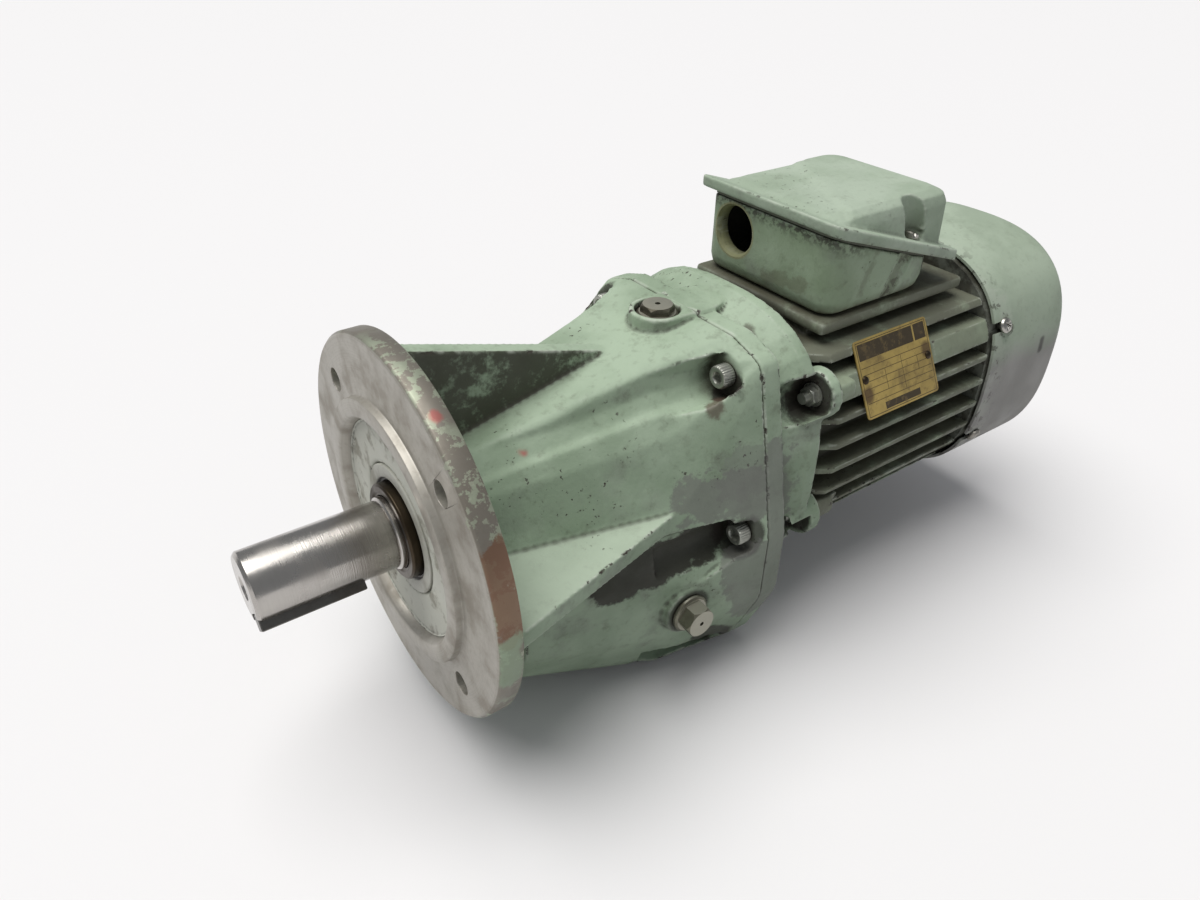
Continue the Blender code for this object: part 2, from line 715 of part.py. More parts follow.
def vent_pad():
    """Raised pad round the vent plug, with a round front, up to the split."""
    angles = [pi / 2 + pi * step / 8 for step in range(9)]
    outline = [(VENT_STATION + VENT_BOSS_RADIUS * cos(angle), VENT_BOSS_RADIUS * sin(angle)) for angle in angles]
    outline += [(CASE_SPLIT, -VENT_BOSS_RADIUS), (CASE_SPLIT, VENT_BOSS_RADIUS)]
    middle = Matrix.Translation((0.0, 0.0, (VENT_BOSS_HEIGHT + VENT_BOSS_ROOT) / 2))
    return slab("vent_pad", outline, VENT_BOSS_HEIGHT - VENT_BOSS_ROOT, middle)


def slope_ends(station):
    """Ends of the case's upper slope, next to its top ridge and next to its side, at a station."""
    if station < CASE_MIDDLE:
        share = (station - NECK_START) / (CASE_MIDDLE - NECK_START)
        sections = NECK_SECTION, MIDDLE_SECTION
    else:
        share = (station - CASE_MIDDLE) / (CASE_SPLIT - CASE_MIDDLE)
        sections = MIDDLE_SECTION, SPLIT_SECTION
    return [Vector(sections[0][index]).lerp(Vector(sections[1][index]), share) for index in (0, 1)]


def circle_ring(station, side, height, radius, across):
    """Points of a circle at a station; across is 1 on the far side and -1 on the near one."""
    angles = [2 * pi * step / SMALL_ROUND for step in range(SMALL_ROUND)]
    return [(station, across * (side + radius * cos(angle)), height + radius * sin(angle)) for angle in angles]


def top_valley(name, across):
    """Shallow valley from the flange to a top screw's pocket."""
    rings = []
    for station in (VALLEY_START, (VALLEY_START + CASE_MIDDLE) / 2, CASE_MIDDLE):
        upper, lower = slope_ends(station)
        along = (lower - upper).normalized()
        outward = Vector((-along.y, along.x))
        depth = VALLEY_DEPTH * station / CASE_MIDDLE
        half = ((lower - upper).length * VALLEY_SHARE - VALLEY_MARGIN) / 2
        radius = (half ** 2 + depth ** 2) / (2 * depth)
        centre = upper + along * (VALLEY_MARGIN + half) + outward * (radius - depth)
        rings.append(circle_ring(station, centre.x, centre.y, radius, across))
    for station in (SCREW_SEAT - POCKET_THROAT, SCREW_SEAT):
        rings.append(circle_ring(station, TOP_SCREW_SIDE, TOP_SCREW_HEIGHT, CASE_SCREW_POCKET, across))
    return loft(name, rings, GREEN_PAINT)


def side_scoop(name, across):
    """Scoop under a side web, which runs back to a side screw's pocket."""
    rings = []
    for station, upper, lower, bottom in SCOOP_SECTIONS:
        corners = ((upper, SCOOP_TOP), (lower, bottom), (SCOOP_OUTSIDE, bottom), (SCOOP_OUTSIDE, SCOOP_TOP))
        rings.append([(station, across * side, height) for side, height in corners])
    return loft(name, rings, GREEN_PAINT)


def make_gear_housing():
    """Gear case and output flange in one casting."""
    rings = [
        ring_at(NECK_START, mirrored_section(NECK_SECTION)),
        ring_at(CASE_MIDDLE, mirrored_section(MIDDLE_SECTION)),
        ring_at(CASE_SPLIT, mirrored_section(SPLIT_SECTION)),
    ]
    case = loft("gear_housing", rings, GREEN_PAINT)
    join(case, turned("flange_solid", flange_profile(), CAST_IRON, segments=FLANGE_ROUND))
    join(case, top_web())
    join(case, side_web("near_web", -1))
    join(case, side_web("far_web", 1))
    join(case, vent_pad())
    join(case, peg("level_boss", (LEVEL_STATION, -0.050, LEVEL_HEIGHT), (0, -1, 0), LEVEL_BOSS_RADIUS,
                   LEVEL_SEAT - 0.050, 16))
    join(case, peg("drain_boss", (DRAIN_STATION, 0.043, DRAIN_HEIGHT), (0, 1, 0), DRAIN_BOSS_RADIUS,
                   DRAIN_SEAT - 0.043, 16))
    cut(case, case_hollow())
    wheel_tip = arm(GEAR_LOW_WHEEL_TEETH, GEAR_LOW_MODULE) + GEAR_LOW_MODULE
    cut(case, bore("low_wheel_room", LOW_GEAR_FRONT - 0.0025, LOW_GEAR_FRONT + LOW_GEAR_WIDTH + 0.001,
                   wheel_tip + GEAR_ROOM))
    wheel_tip = arm(GEAR_HIGH_WHEEL_TEETH, GEAR_HIGH_MODULE) + GEAR_HIGH_MODULE
    cut(case, bore("high_wheel_room", HIGH_GEAR_FRONT - 0.002, HIGH_GEAR_FRONT + HIGH_GEAR_WIDTH + 0.002,
                   wheel_tip + GEAR_ROOM, LOWER_AXIS))
    cut(case, bore("seal_bore", -0.010, SEAL_FRONT + SEAL_DEPTH + FIT, seat_of(OUTPUT_FRONT_BEARING)[2]))
    for name, sizes, axis, reach in (
            ("front_bearing_bore", OUTPUT_FRONT_BEARING, MAIN_AXIS, 0.0),
            ("rear_bearing_bore", OUTPUT_REAR_BEARING, MAIN_AXIS, 0.010),
            ("lower_bearing_bore", INTERMEDIATE_FRONT_BEARING, LOWER_AXIS, 0.010)):
        front, rear, radius = seat_of(sizes)
        cut(case, bore(name, front, rear + reach, radius, axis))
    front, rear, radius = seat_of(OUTPUT_REAR_BEARING)
    cut(case, bore("rear_shoulder_hole", front - 0.010, rear, radius - 0.003))
    front, rear, radius = seat_of(OUTPUT_FRONT_BEARING)
    cut(case, bore("front_shoulder_hole", front - 0.010, rear + 0.010, radius - 0.003))
    for index in range(4):
        angle = pi / 4 + index * pi / 2
        centre = (-0.010, FLANGE_HOLE_CIRCLE * cos(angle), FLANGE_HOLE_CIRCLE * sin(angle))
        cut(case, peg("flange_hole_%d" % (index + 1), centre, (1, 0, 0), FLANGE_HOLE_RADIUS, 0.024, 16))
        relief = (FLANGE_THICKNESS, centre[1], centre[2])
        cut(case, peg("flange_relief_%d" % (index + 1), relief, (1, 0, 0), FLANGE_RELIEF_RADIUS, 0.020, 16))
    for across, label in ((-1, "near"), (1, "far")):
        cut(case, top_valley("top_valley_" + label, across))
        cut(case, side_scoop("side_scoop_" + label, across))
    for index, (side, height) in enumerate(CASE_SCREWS):
        start = (SCREW_SEAT, side, height)
        if index > 1:
            cut(case, peg("screw_pocket_%d" % (index + 1), start, (-1, 0, 0), CASE_SCREW_POCKET, LOW_POCKET_REACH, 16))
        hole = (SCREW_SEAT - 0.002, side, height)
        cut(case, peg("case_screw_hole_%d" % (index + 1), hole, (1, 0, 0), SCREW_SHANK_RADIUS + FIT, 0.020, 8))
    cut(case, peg("vent_recess", (VENT_STATION, 0.0, VENT_SEAT), (0, 0, 1), VENT_RECESS_RADIUS, 0.010, 16))
    for name, start, direction in PLUG_HOLES:
        cut(case, peg(name + "_hole", start, direction, PLUG_THREAD_RADIUS + FIT, PLUG_HOLE_DEPTH))
    return case


PLUG_HOLES = (
    ("vent_plug", (VENT_STATION, 0.0, VENT_SEAT + 0.002), (0, 0, -1)),
    ("level_plug", (LEVEL_STATION, -LEVEL_SEAT - 0.002, LEVEL_HEIGHT), (0, 1, 0)),
    ("drain_plug", (DRAIN_STATION, DRAIN_SEAT + 0.002, DRAIN_HEIGHT), (0, -1, 0)),
)


def make_plug(name, seat, outward, hex_height=PLUG_HEX_HEIGHT, breather=False):
    """Hex head oil plug with its sealing collar."""
    start = Vector(seat) + Vector(outward) * FIT
    plug = peg(name, start, outward, PLUG_COLLAR_RADIUS, PLUG_COLLAR_HEIGHT, 16)
    plug.data.materials.clear()
    plug.data.materials.append(DARK_STEEL)
    join(plug, peg(name + "_thread", start - Vector(outward) * 0.006, outward, PLUG_THREAD_RADIUS, 0.008))
    top = start + Vector(outward) * (PLUG_COLLAR_HEIGHT - 0.0005)
    join(plug, peg(name + "_hex", top, outward, PLUG_HEX_RADIUS, hex_height + 0.0005, 6))
    if breather:
        cut(plug, peg(name + "_breather", start + Vector(outward) * 0.004, outward, 0.0012, 0.020, 8))
    return plug


def socket_screw(name, seat, length):
    """Socket head cap screw along X, its head in front of its seat."""
    x, side, height = seat
    head = x - FIT
    screw = peg(name, (head, side, height), (-1, 0, 0), SCREW_HEAD_RADIUS, SCREW_HEAD_HEIGHT, SMALL_ROUND)
    screw.data.materials.clear()
    screw.data.materials.append(ZINC)
    join(screw, peg(name + "_shank", (head - 0.001, side, height), (1, 0, 0), SCREW_SHANK_RADIUS, length + 0.001, 8))
    front = head - SCREW_HEAD_HEIGHT
    cut(screw, peg(name + "_socket", (front - 0.001, side, height), (1, 0, 0), SCREW_SOCKET_RADIUS,
                   SCREW_SOCKET_DEPTH + 0.001, 6))
    return screw


def make_input_cover():
    """Cover of the gear case with the motor's drive end shield on its rear."""
    outline = mirrored_section(SPLIT_SECTION)
    cover = loft("input_cover", [ring_at(COVER_PLATE_START, outline), ring_at(COVER_PLATE_END, outline)], GREEN_PAINT)
    join(cover, block("vent_pad_rear", (COVER_PLATE_START, -VENT_BOSS_RADIUS, VENT_BOSS_ROOT),
                      (COVER_PLATE_END, VENT_BOSS_RADIUS, VENT_BOSS_HEIGHT)))
    join(cover, squircle_loft("shield_body", (
        (COVER_PLATE_END - 0.003, SHIELD_HALF - 0.007),
        (COVER_PLATE_END + 0.004, SHIELD_HALF - 0.005),
        (SHIELD_END - SHIELD_RIM, SHIELD_HALF - 0.001),
        (SHIELD_END - SHIELD_RIM + 0.001, SHIELD_HALF),
        (SHIELD_END, SHIELD_HALF)), SHIELD_POWER, GREEN_PAINT))
    for index, (side, height) in enumerate(EARS):
        join(cover, peg("ear_%d" % (index + 1), (EAR_START, side, height), (1, 0, 0), EAR_RADIUS,
                        EAR_REAR - EAR_START, 16))
        cut(cover, peg("ear_pocket_%d" % (index + 1), (EAR_SEAT, side * EAR_POCKET_OUT, height * EAR_POCKET_OUT),
                       (-1, 0, 0), EAR_POCKET_RADIUS, EAR_SEAT - COVER_PLATE_END - 0.0005, 16))
        cut(cover, peg("stud_hole_%d" % (index + 1), (EAR_SEAT - 0.002, side, height), (1, 0, 0),
                       STUD_RADIUS + FIT, EAR_THICKNESS + 0.004, 8))
    front, rear, radius = seat_of(INTERMEDIATE_REAR_BEARING)
    join(cover, bore("intermediate_boss", front, COVER_PLATE_END - 0.001, radius + CASE_WALL, LOWER_AXIS))
    cut(cover, bore("intermediate_seat", front - 0.010, rear, radius, LOWER_AXIS))
    front, rear, radius = seat_of(MOTOR_FRONT_BEARING)
    hollow = squircle_loft("shield_hollow", (
        (COVER_PLATE_END + 0.002, SHIELD_HALF - 0.007 - SHIELD_WALL),
        (SHIELD_END + 0.002, SHIELD_HALF - 0.001 - SHIELD_WALL)), SHIELD_POWER, CAST_IRON)
    cut(hollow, bore("motor_bearing_boss", 0.100, rear, radius + CASE_WALL))
    for index, (side, height) in enumerate(EARS):
        cut(hollow, peg("ear_core_%d" % (index + 1), (SHIELD_END - 0.030, side * EAR_POCKET_OUT,
                        height * EAR_POCKET_OUT), (1, 0, 0), EAR_POCKET_RADIUS + 0.003, 0.040, 12))
    cut(cover, hollow)
    cut(cover, bore("motor_bearing_seat", front, rear + 0.010, radius))
    cut(cover, bore("motor_shaft_hole", 0.100, front + 0.001, MOTOR_SHAFT_RADIUS + 0.003))
    for index, (side, height) in enumerate(CASE_SCREWS):
        cut(cover, peg("cover_screw_hole_%d" % (index + 1), (CASE_SPLIT - 0.010, side, height), (1, 0, 0),
                       SCREW_SHANK_RADIUS + FIT, 0.0175, 8))
    return cover


def fin_heights():
    """Heights of the side fins, from the lowest one up."""
    return [FIN_LOWEST + FIN_PITCH * index for index in range(FIN_COUNT)]


BAR_HEIGHT = fin_heights()[FIN_COUNT - 2]


def make_stator_frame():
    """Finned motor casing with the seat of the terminal box."""
    reach = FRAME_HALF + 0.010
    fins = bore("stator_frame", FRAME_START, FRAME_END, FRAME_SKIN)
    fins.data.materials.clear()
    fins.data.materials.append(GREEN_PAINT)
    lattice = None
    for index, height in enumerate(fin_heights()):
        half = BAR_THICKNESS / 2 if height == BAR_HEIGHT else FIN_THICKNESS / 2
        fin = block("fin_%d" % (index + 1), (FRAME_START, -reach, height - half), (FRAME_END, reach, height + half))
        lattice = fin if lattice is None else join(lattice, fin)
    for index in range(BELLY_FIN_COUNT):
        across = (index - (BELLY_FIN_COUNT - 1) / 2) * FIN_PITCH
        join(lattice, block("belly_fin_%d" % (index + 1), (FRAME_START, across - FIN_THICKNESS / 2, -reach),
                            (FRAME_END, across + FIN_THICKNESS / 2, -FRAME_BORE)))
    for side, height in EARS[2:]:
        join(lattice, block("low_bar_%s" % ("far" if side > 0 else "near"),
                            (FRAME_START, min(0.040 * side / EAR_SIDE, reach * side / EAR_SIDE), height - BAR_THICKNESS / 2),
                            (EAR_REAR + 0.016, max(0.040 * side / EAR_SIDE, reach * side / EAR_SIDE),
                             height + BAR_THICKNESS / 2)))
    envelope = squircle_loft("fin_envelope", (
        (FRAME_START, FRAME_HALF - 0.009),
        (FRAME_START + FIN_SLOPE, FRAME_HALF),
        (FRAME_END, FRAME_HALF)), FRAME_POWER, GREEN_PAINT)
    for side, height in EARS:
        join(envelope, peg("ear_reach_%s_%s" % (side > 0, height > 0), (FRAME_START, side, height), (1, 0, 0),
                           BAR_THICKNESS * 0.75, EAR_REAR + 0.012 - FRAME_START, 16))
    combine(lattice, envelope, "INTERSECT")
    join(fins, lattice)
    join(fins, block("box_seat", (SEAT_START, -SEAT_HALF_WIDTH, SEAT_TOP - SEAT_THICKNESS),
                     (SEAT_END, SEAT_HALF_WIDTH, SEAT_TOP), bevel=0.002))
    join(fins, block("seat_neck", (SEAT_START + 0.004, -0.030, 0.030), (SEAT_END - 0.004, 0.030, SEAT_TOP - 0.001)))
    cut(fins, bore("frame_bore", FRAME_START - 0.010, FRAME_END + 0.010, FRAME_BORE))
    for index, (side, height) in enumerate(EARS):
        cut(fins, peg("ear_room_%d" % (index + 1), (FRAME_START - 0.010, side, height), (1, 0, 0),
                      EAR_RADIUS + FIT, EAR_REAR + FIT - FRAME_START + 0.010, 16))
        cut(fins, peg("stud_thread_%d" % (index + 1), (EAR_REAR - 0.002, side, height), (1, 0, 0),
                      STUD_RADIUS + FIT, 0.002 + STUD_BURIED + 2 * FIT, 8))
    cut(fins, plate_slab("plate_room", 0.010, PLATE_MARGIN))
    box_middle = (BOX_FRONT + BOX_REAR) / 2
    cut(fins, peg("lead_hole", (box_middle, 0.0, 0.030), (0, 0, 1), 0.009, 0.050))
    for index, (start, direction) in enumerate(rivet_places()):
        cut(fins, peg("rivet_hole_%d" % (index + 1), start + direction * 0.002, -direction, RIVET_RADIUS + FIT,
                      RIVET_LENGTH + 0.002 + FIT, 8))
    return fins


def make_studs():
    """Studs with nuts that hold the shield to the frame."""
    for index, (side, height) in enumerate(EARS):
        nut_front = EAR_SEAT - FIT - NUT_HEIGHT
        stud = peg("shield_stud_%d" % (index + 1), (nut_front - STUD_REACH, side, height), (1, 0, 0), STUD_RADIUS,
                   EAR_REAR + STUD_BURIED - nut_front + STUD_REACH, 8)
        stud.data.materials.clear()
        stud.data.materials.append(ZINC)
        join(stud, peg("nut_%d" % (index + 1), (nut_front, side, height), (1, 0, 0), NUT_RADIUS, NUT_HEIGHT, 6))


def plate_axes():
    """Outward and upward directions on the rating plate."""
    outward = Vector((0.0, -cos(PLATE_TILT), sin(PLATE_TILT)))
    upward = Vector((0.0, sin(PLATE_TILT), cos(PLATE_TILT)))
    return outward, upward


def plate_centre():
    """Middle of the plate's back, at the height of the frame's bar."""
    outward, upward = plate_axes()
    on_bar = outward * PLATE_DISTANCE
    slide = (BAR_HEIGHT - on_bar.z) / upward.z
    return on_bar + upward * slide + Vector((PLATE_STATION, 0.0, 0.0))


def rivet_places():
    """Where the rivets enter the bar, and the way out of it."""
    outward, upward = plate_axes()
    reach = PLATE_LENGTH / 2 - RIVET_INSET
    return [(plate_centre() + Vector((side * reach, 0.0, 0.0)), outward) for side in (-1, 1)]


def plate_slab(name, thickness, margin, material=GREEN_PAINT, lift=0.0):
    """A slab over the plate's place, from a lift above its seat, larger than it by a margin."""
    outward, upward = plate_axes()
    middle = plate_centre() + outward * (lift + thickness / 2)
    matrix = Matrix((
        (1.0, upward.x, outward.x, middle.x),
        (0.0, upward.y, outward.y, middle.y),
        (0.0, upward.z, outward.z, middle.z),
        (0.0, 0.0, 0.0, 1.0)))
    half = (PLATE_LENGTH / 2 + margin, PLATE_HEIGHT / 2 + margin)
    corners = [Vector((u * half[0], v * half[1])) for u, v in ((-1, -1), (1, -1), (1, 1), (-1, 1))]
    return slab(name, rounded(corners, [PLATE_CORNER] * 4, 3), thickness, matrix, material)


def make_rating_plate():
    """Bare metal plate riveted to the bar."""
    plate = plate_slab("rating_plate", PLATE_THICKNESS, 0.0, BRASS, FIT)
    for index, (start, direction) in enumerate(rivet_places()):
        cut(plate, peg("plate_hole_%d" % (index + 1), start - direction * 0.002, direction, RIVET_RADIUS + FIT, 0.006, 8))
        head = start + direction * (2 * FIT + PLATE_THICKNESS)
        rivet = peg("plate_rivet_%d" % (index + 1), head, direction, RIVET_HEAD_RADIUS, 0.0009, 10, tip=0.0012)
        rivet.data.materials.clear()
        rivet.data.materials.append(ZINC)
        join(rivet, peg("rivet_shank_%d" % (index + 1), head + direction * 0.0004, -direction, RIVET_RADIUS,
                        RIVET_LENGTH + PLATE_THICKNESS, 8))


def parting_height(station):
    """Height of the box's parting plane at a station."""
    return PARTING_FRONT_HEIGHT - (station - BOX_FRONT) * PARTING_SINK


def box_outline(inset=0.0, front=None):
    """Plan of the terminal box as (station, side) points, with another inset at the front if one is given."""
    half = BOX_HALF_WIDTH - inset
    start = BOX_FRONT + (inset if front is None else front)
    corners = [(start, -half), (BOX_REAR - inset, -half), (BOX_REAR - inset, half), (start, half)]
    front_round = max(BOX_CORNER - inset, 0.001)
    rear_round = max(BOX_REAR_CORNER - inset, 0.001)
    return rounded([Vector(point) for point in corners], [front_round, rear_round, rear_round, front_round], 5)


def upright(name, outline, low, high, material=GREEN_PAINT):
    """A plan outline raised from a low level to a level given by a function of the station."""
    rings = [[(x, y, low(x)) for x, y in outline], [(x, y, high(x)) for x, y in outline]]
    return loft(name, rings, material)


def make_terminal_box():
    """Open box with a slanting rim, a cable entry and screw columns."""
    foot = [
        [(x, y, BOX_FLOOR) for x, y in box_outline(BOX_FOOT_INSET)],
        [(x, y, BOX_FLOOR + BOX_FOOT_HEIGHT * 0.3) for x, y in box_outline(BOX_FOOT_INSET * 0.3)],
        [(x, y, BOX_FLOOR + BOX_FOOT_HEIGHT) for x, y in box_outline()],
        [(x, y, parting_height(x)) for x, y in box_outline()],
    ]
    box = loft("terminal_box", foot, GREEN_PAINT)
    inside = [
        [(x, y, BOX_FLOOR + BOX_WALL) for x, y in box_outline(BOX_WALL + BOX_FOOT_INSET, front=BOX_FRONT_WALL)],
        [(x, y, BOX_FLOOR + BOX_FOOT_HEIGHT) for x, y in box_outline(BOX_WALL, front=BOX_FRONT_WALL)],
        [(x, y, parting_height(x) + 0.010) for x, y in box_outline(BOX_WALL, front=BOX_FRONT_WALL)],
    ]
    hollow = loft("box_hollow", inside, GREEN_PAINT)
    for side in (-1, 1):
        cut(hollow, peg("screw_column_%s" % ("near" if side < 0 else "far"),
                        (LID_SCREW_STATION, side * LID_SCREW_SIDE, 0.050), (0, 0, 1), 0.005, 0.060, 12))
    cut(box, hollow)
    cut(box, peg("entry_hole", (BOX_FRONT - 0.010, ENTRY_SIDE, ENTRY_HEIGHT), (1, 0, 0), ENTRY_RADIUS, 0.040, 24))
    box_middle = (BOX_FRONT + BOX_REAR) / 2
    cut(box, peg("box_lead_hole", (box_middle, 0.0, 0.040), (0, 0, 1), 0.009, 0.030))
    for side in (-1, 1):
        start, direction = lid_screw_seat(side)
        cut(box, peg("box_screw_hole_%s" % ("near" if side < 0 else "far"), start + direction * 0.004, -direction,
                     LID_SCREW_SHANK_RADIUS + FIT, LID_SCREW_LENGTH + 0.004 + FIT, 8))
    return box


def lid_normal():
    """Direction square to the parting plane, away from the box."""
    return Vector((sin(PARTING_SLOPE), 0.0, cos(PARTING_SLOPE)))


def lid_screw_seat(side):
    """Where a lid screw's head sits on the lid, and the way up out of it."""
    normal = lid_normal()
    base = Vector((LID_SCREW_STATION, side * LID_SCREW_SIDE, parting_height(LID_SCREW_STATION)))
    return base + normal * (GASKET_THICKNESS + LID_THICKNESS + 2 * FIT), normal


def notch_direction():
    """Way up along the notch over a lid screw."""
    return Vector((-sin(LID_NOTCH_LEAN), 0.0, cos(LID_NOTCH_LEAN)))


def lid_outline(inset=0.0):
    """Plan of the lid's rim."""
    half = BOX_HALF_WIDTH + LID_OVERHANG - inset
    front = BOX_FRONT - LID_OVERHANG + inset
    rear = BOX_REAR + LID_REAR_OVERHANG - inset
    corners = [(front, -half), (rear, -half), (rear, half), (front, half)]
    return rounded([Vector(point) for point in corners], [0.006] * 4, 3)


def block_outline(grow=0.0):
    """Plan of the raised block on the lid."""
    half = LID_BLOCK_HALF_WIDTH + grow
    front = BOX_FRONT - LID_OVERHANG + LID_BLOCK_INSET - grow
    rear = LID_BLOCK_REAR + grow
    corners = [(front, -half), (rear, -half), (rear, half), (front, half)]
    return rounded([Vector(point) for point in corners], [0.008] * 4, 4)


def make_terminal_lid():
    """Slanting lid with a wedge shaped block."""
    rise = (GASKET_THICKNESS + 2 * FIT) / cos(PARTING_SLOPE)
    thick = LID_THICKNESS / cos(PARTING_SLOPE)

    def under(x):
        return parting_height(x) + rise

    def over(x):
        return under(x) + thick

    def shelf(drop):
        return lambda x: max(over(x) - 0.0005, LID_BLOCK_TOP - drop)

    lid = upright("terminal_box_lid", lid_outline(), under, over)
    rings = []
    for drop, shrink in ((None, 0.0), (0.006, -0.0005), (0.002, -0.002), (0.0, -0.006)):
        level = (lambda x: over(x) - 0.002) if drop is None else shelf(drop)
        rings.append([(x, y, level(x)) for x, y in block_outline(shrink)])
    join(lid, loft("lid_block", rings, GREEN_PAINT))
    inner = [[(x, y, under(x) - 0.002) for x, y in block_outline(-0.004)],
             [(x, y, max(under(x) + 0.0004, LID_BLOCK_TOP - LID_SHELL)) for x, y in block_outline(-0.007)]]
    hollow = loft("lid_hollow", inner, GREEN_PAINT)
    for side in (-1, 1):
        start, direction = lid_screw_seat(side)
        label = "near" if side < 0 else "far"
        lean = notch_direction()
        cut(hollow, peg("notch_core_" + label, start - lean * 0.030, lean, LID_NOTCH_RADIUS + LID_SHELL, 0.060, 16))
    cut(lid, hollow)
    for side in (-1, 1):
        start, direction = lid_screw_seat(side)
        label = "near" if side < 0 else "far"
        outside = start + Vector((0.0, side * 0.002, 0.0))
        lid_notch = peg("lid_notch_" + label, outside, direction, LID_NOTCH_RADIUS, 0.0045, 16)
        join(lid_notch, peg("lid_notch_top_" + label, outside + direction * 0.002, notch_direction(),
                            LID_NOTCH_RADIUS, 0.040, 16))
        cut(lid, lid_notch)
        cut(lid, peg("lid_screw_hole_" + label, start + direction * 0.002, -direction,
                     LID_SCREW_SHANK_RADIUS + FIT, 0.012, 8))
    return lid


def make_lid_gasket():
    """Flat gasket between box and lid."""
    rise = FIT / cos(PARTING_SLOPE)
    thick = GASKET_THICKNESS / cos(PARTING_SLOPE)
    gasket = upright("lid_gasket", box_outline(0.0003), lambda x: parting_height(x) + rise,
                     lambda x: parting_height(x) + rise + thick, RUBBER)
    cut(gasket, upright("gasket_window", box_outline(BOX_WALL), lambda x: parting_height(x) - 0.010,
                        lambda x: parting_height(x) + 0.010))
    for side in (-1, 1):
        start, direction = lid_screw_seat(side)
        label = "near" if side < 0 else "far"
        cut(gasket, peg("gasket_hole_" + label, start, -direction, LID_SCREW_SHANK_RADIUS + FIT, LID_SCREW_LENGTH, 8))
    return gasket


def make_lid_screws():
    """Pan head screws of the lid."""
    for side in (-1, 1):
        label = "near" if side < 0 else "far"
        start, direction = lid_screw_seat(side)
        seat = start + direction * FIT
        screw = peg("lid_screw_" + label, seat, direction, LID_SCREW_HEAD_RADIUS, LID_SCREW_HEAD_HEIGHT, 12,
                    tip=LID_SCREW_HEAD_RADIUS * 0.8)
        screw.data.materials.clear()
        screw.data.materials.append(ZINC)
        join(screw, peg("lid_screw_shank_" + label, seat + direction * 0.001, -direction, LID_SCREW_SHANK_RADIUS,
                        LID_SCREW_LENGTH + 0.001, 8))


def make_terminal_board():
    """Moulded board with six terminal posts."""
    middle = (BOX_FRONT + BOX_REAR) / 2
    floor = BOX_FLOOR + BOX_WALL + FIT
    board = block("terminal_board", (middle - BOARD_LENGTH / 2, -BOARD_WIDTH / 2, floor),
                  (middle + BOARD_LENGTH / 2, BOARD_WIDTH / 2, floor + BOARD_THICKNESS), MOULDING, bevel=0.001)
    for row in (-1, 1):
        for column in (-1, 0, 1):
            start = (middle + row * 0.010, column * 0.015, floor + BOARD_THICKNESS - 0.001)
            join(board, peg("post_%d_%d" % (row + 2, column + 2), start, (0, 0, 1), BOARD_POST_RADIUS,
                            BOARD_POST_HEIGHT + 0.001, 6))
    return board


def radial(angle, radius, station):
    """Point at an angle about the shaft, where 0 is the near side and the angle rises upwards."""
    return Vector((station, -radius * cos(angle), radius * sin(angle)))


def make_output_shaft():
    """Output shaft with key slot, centre hole and gear seat."""
    gear_front = LOW_GEAR_FRONT
    gear_rear = LOW_GEAR_FRONT + LOW_GEAR_WIDTH
    rear = OUTPUT_REAR_BEARING[0] + OUTPUT_REAR_BEARING[3] + 0.001
    profile = [
        (rear, 0.0),
        (rear, OUTPUT_REAR_RADIUS),
        (gear_rear + 0.004, OUTPUT_REAR_RADIUS),
        (gear_rear + 0.004, OUTPUT_GEAR_SEAT_RADIUS - 0.0015),
        (gear_rear, OUTPUT_GEAR_SEAT_RADIUS),
        (gear_front, OUTPUT_GEAR_SEAT_RADIUS),
        (gear_front, OUTPUT_GEAR_SEAT_RADIUS + 0.003),
        (gear_front - 0.004, OUTPUT_GEAR_SEAT_RADIUS + 0.003),
        (gear_front - 0.004, SHAFT_BEARING_RADIUS + 0.0015),
        (OUTPUT_FRONT_BEARING[0] + OUTPUT_FRONT_BEARING[3] + FIT, SHAFT_BEARING_RADIUS + 0.0015),
        (OUTPUT_FRONT_BEARING[0] + OUTPUT_FRONT_BEARING[3] + FIT, SHAFT_BEARING_RADIUS),
        (SHAFT_COLLAR_FRONT, SHAFT_BEARING_RADIUS),
        (SHAFT_COLLAR_FRONT - 0.0008, SHAFT_RADIUS),
        (SHAFT_CHAMFER - SHAFT_LENGTH, SHAFT_RADIUS),
        (-SHAFT_LENGTH, SHAFT_RADIUS - SHAFT_CHAMFER),
        (-SHAFT_LENGTH, 0.0045),
        (-SHAFT_LENGTH + 0.004, 0.0025),
        (-SHAFT_LENGTH + 0.012, 0.0025),
        (-SHAFT_LENGTH + 0.012, 0.0),
    ]
    shaft = turned("output_shaft", profile, BRIGHT_STEEL)
    key_middle = radial(-KEY_ANGLE, 1.0, 0.0)
    slot = block("key_slot", (-SHAFT_LENGTH - 0.002, -KEY_WIDTH / 2 - FIT, SHAFT_RADIUS - KEY_DEPTH - FIT),
                 (-SHAFT_LENGTH + KEY_LENGTH + 2 * FIT, KEY_WIDTH / 2 + FIT, SHAFT_RADIUS + 0.010))
    slot.matrix_basis = Matrix.Rotation(atan2(-key_middle.y, key_middle.z), 4, "X") @ slot.matrix_basis
    return cut(shaft, slot)


def make_shaft_key():
    """Parallel key of the shaft end."""
    key_middle = radial(-KEY_ANGLE, 1.0, 0.0)
    key = block("shaft_key", (-SHAFT_LENGTH + FIT, -KEY_WIDTH / 2, SHAFT_RADIUS - KEY_DEPTH),
                (-SHAFT_LENGTH + FIT + KEY_LENGTH, KEY_WIDTH / 2, SHAFT_RADIUS - KEY_DEPTH + KEY_HEIGHT),
                DARK_STEEL, bevel=0.0004, segments=1)
    key.matrix_basis = Matrix.Rotation(atan2(-key_middle.y, key_middle.z), 4, "X") @ key.matrix_basis
    return key


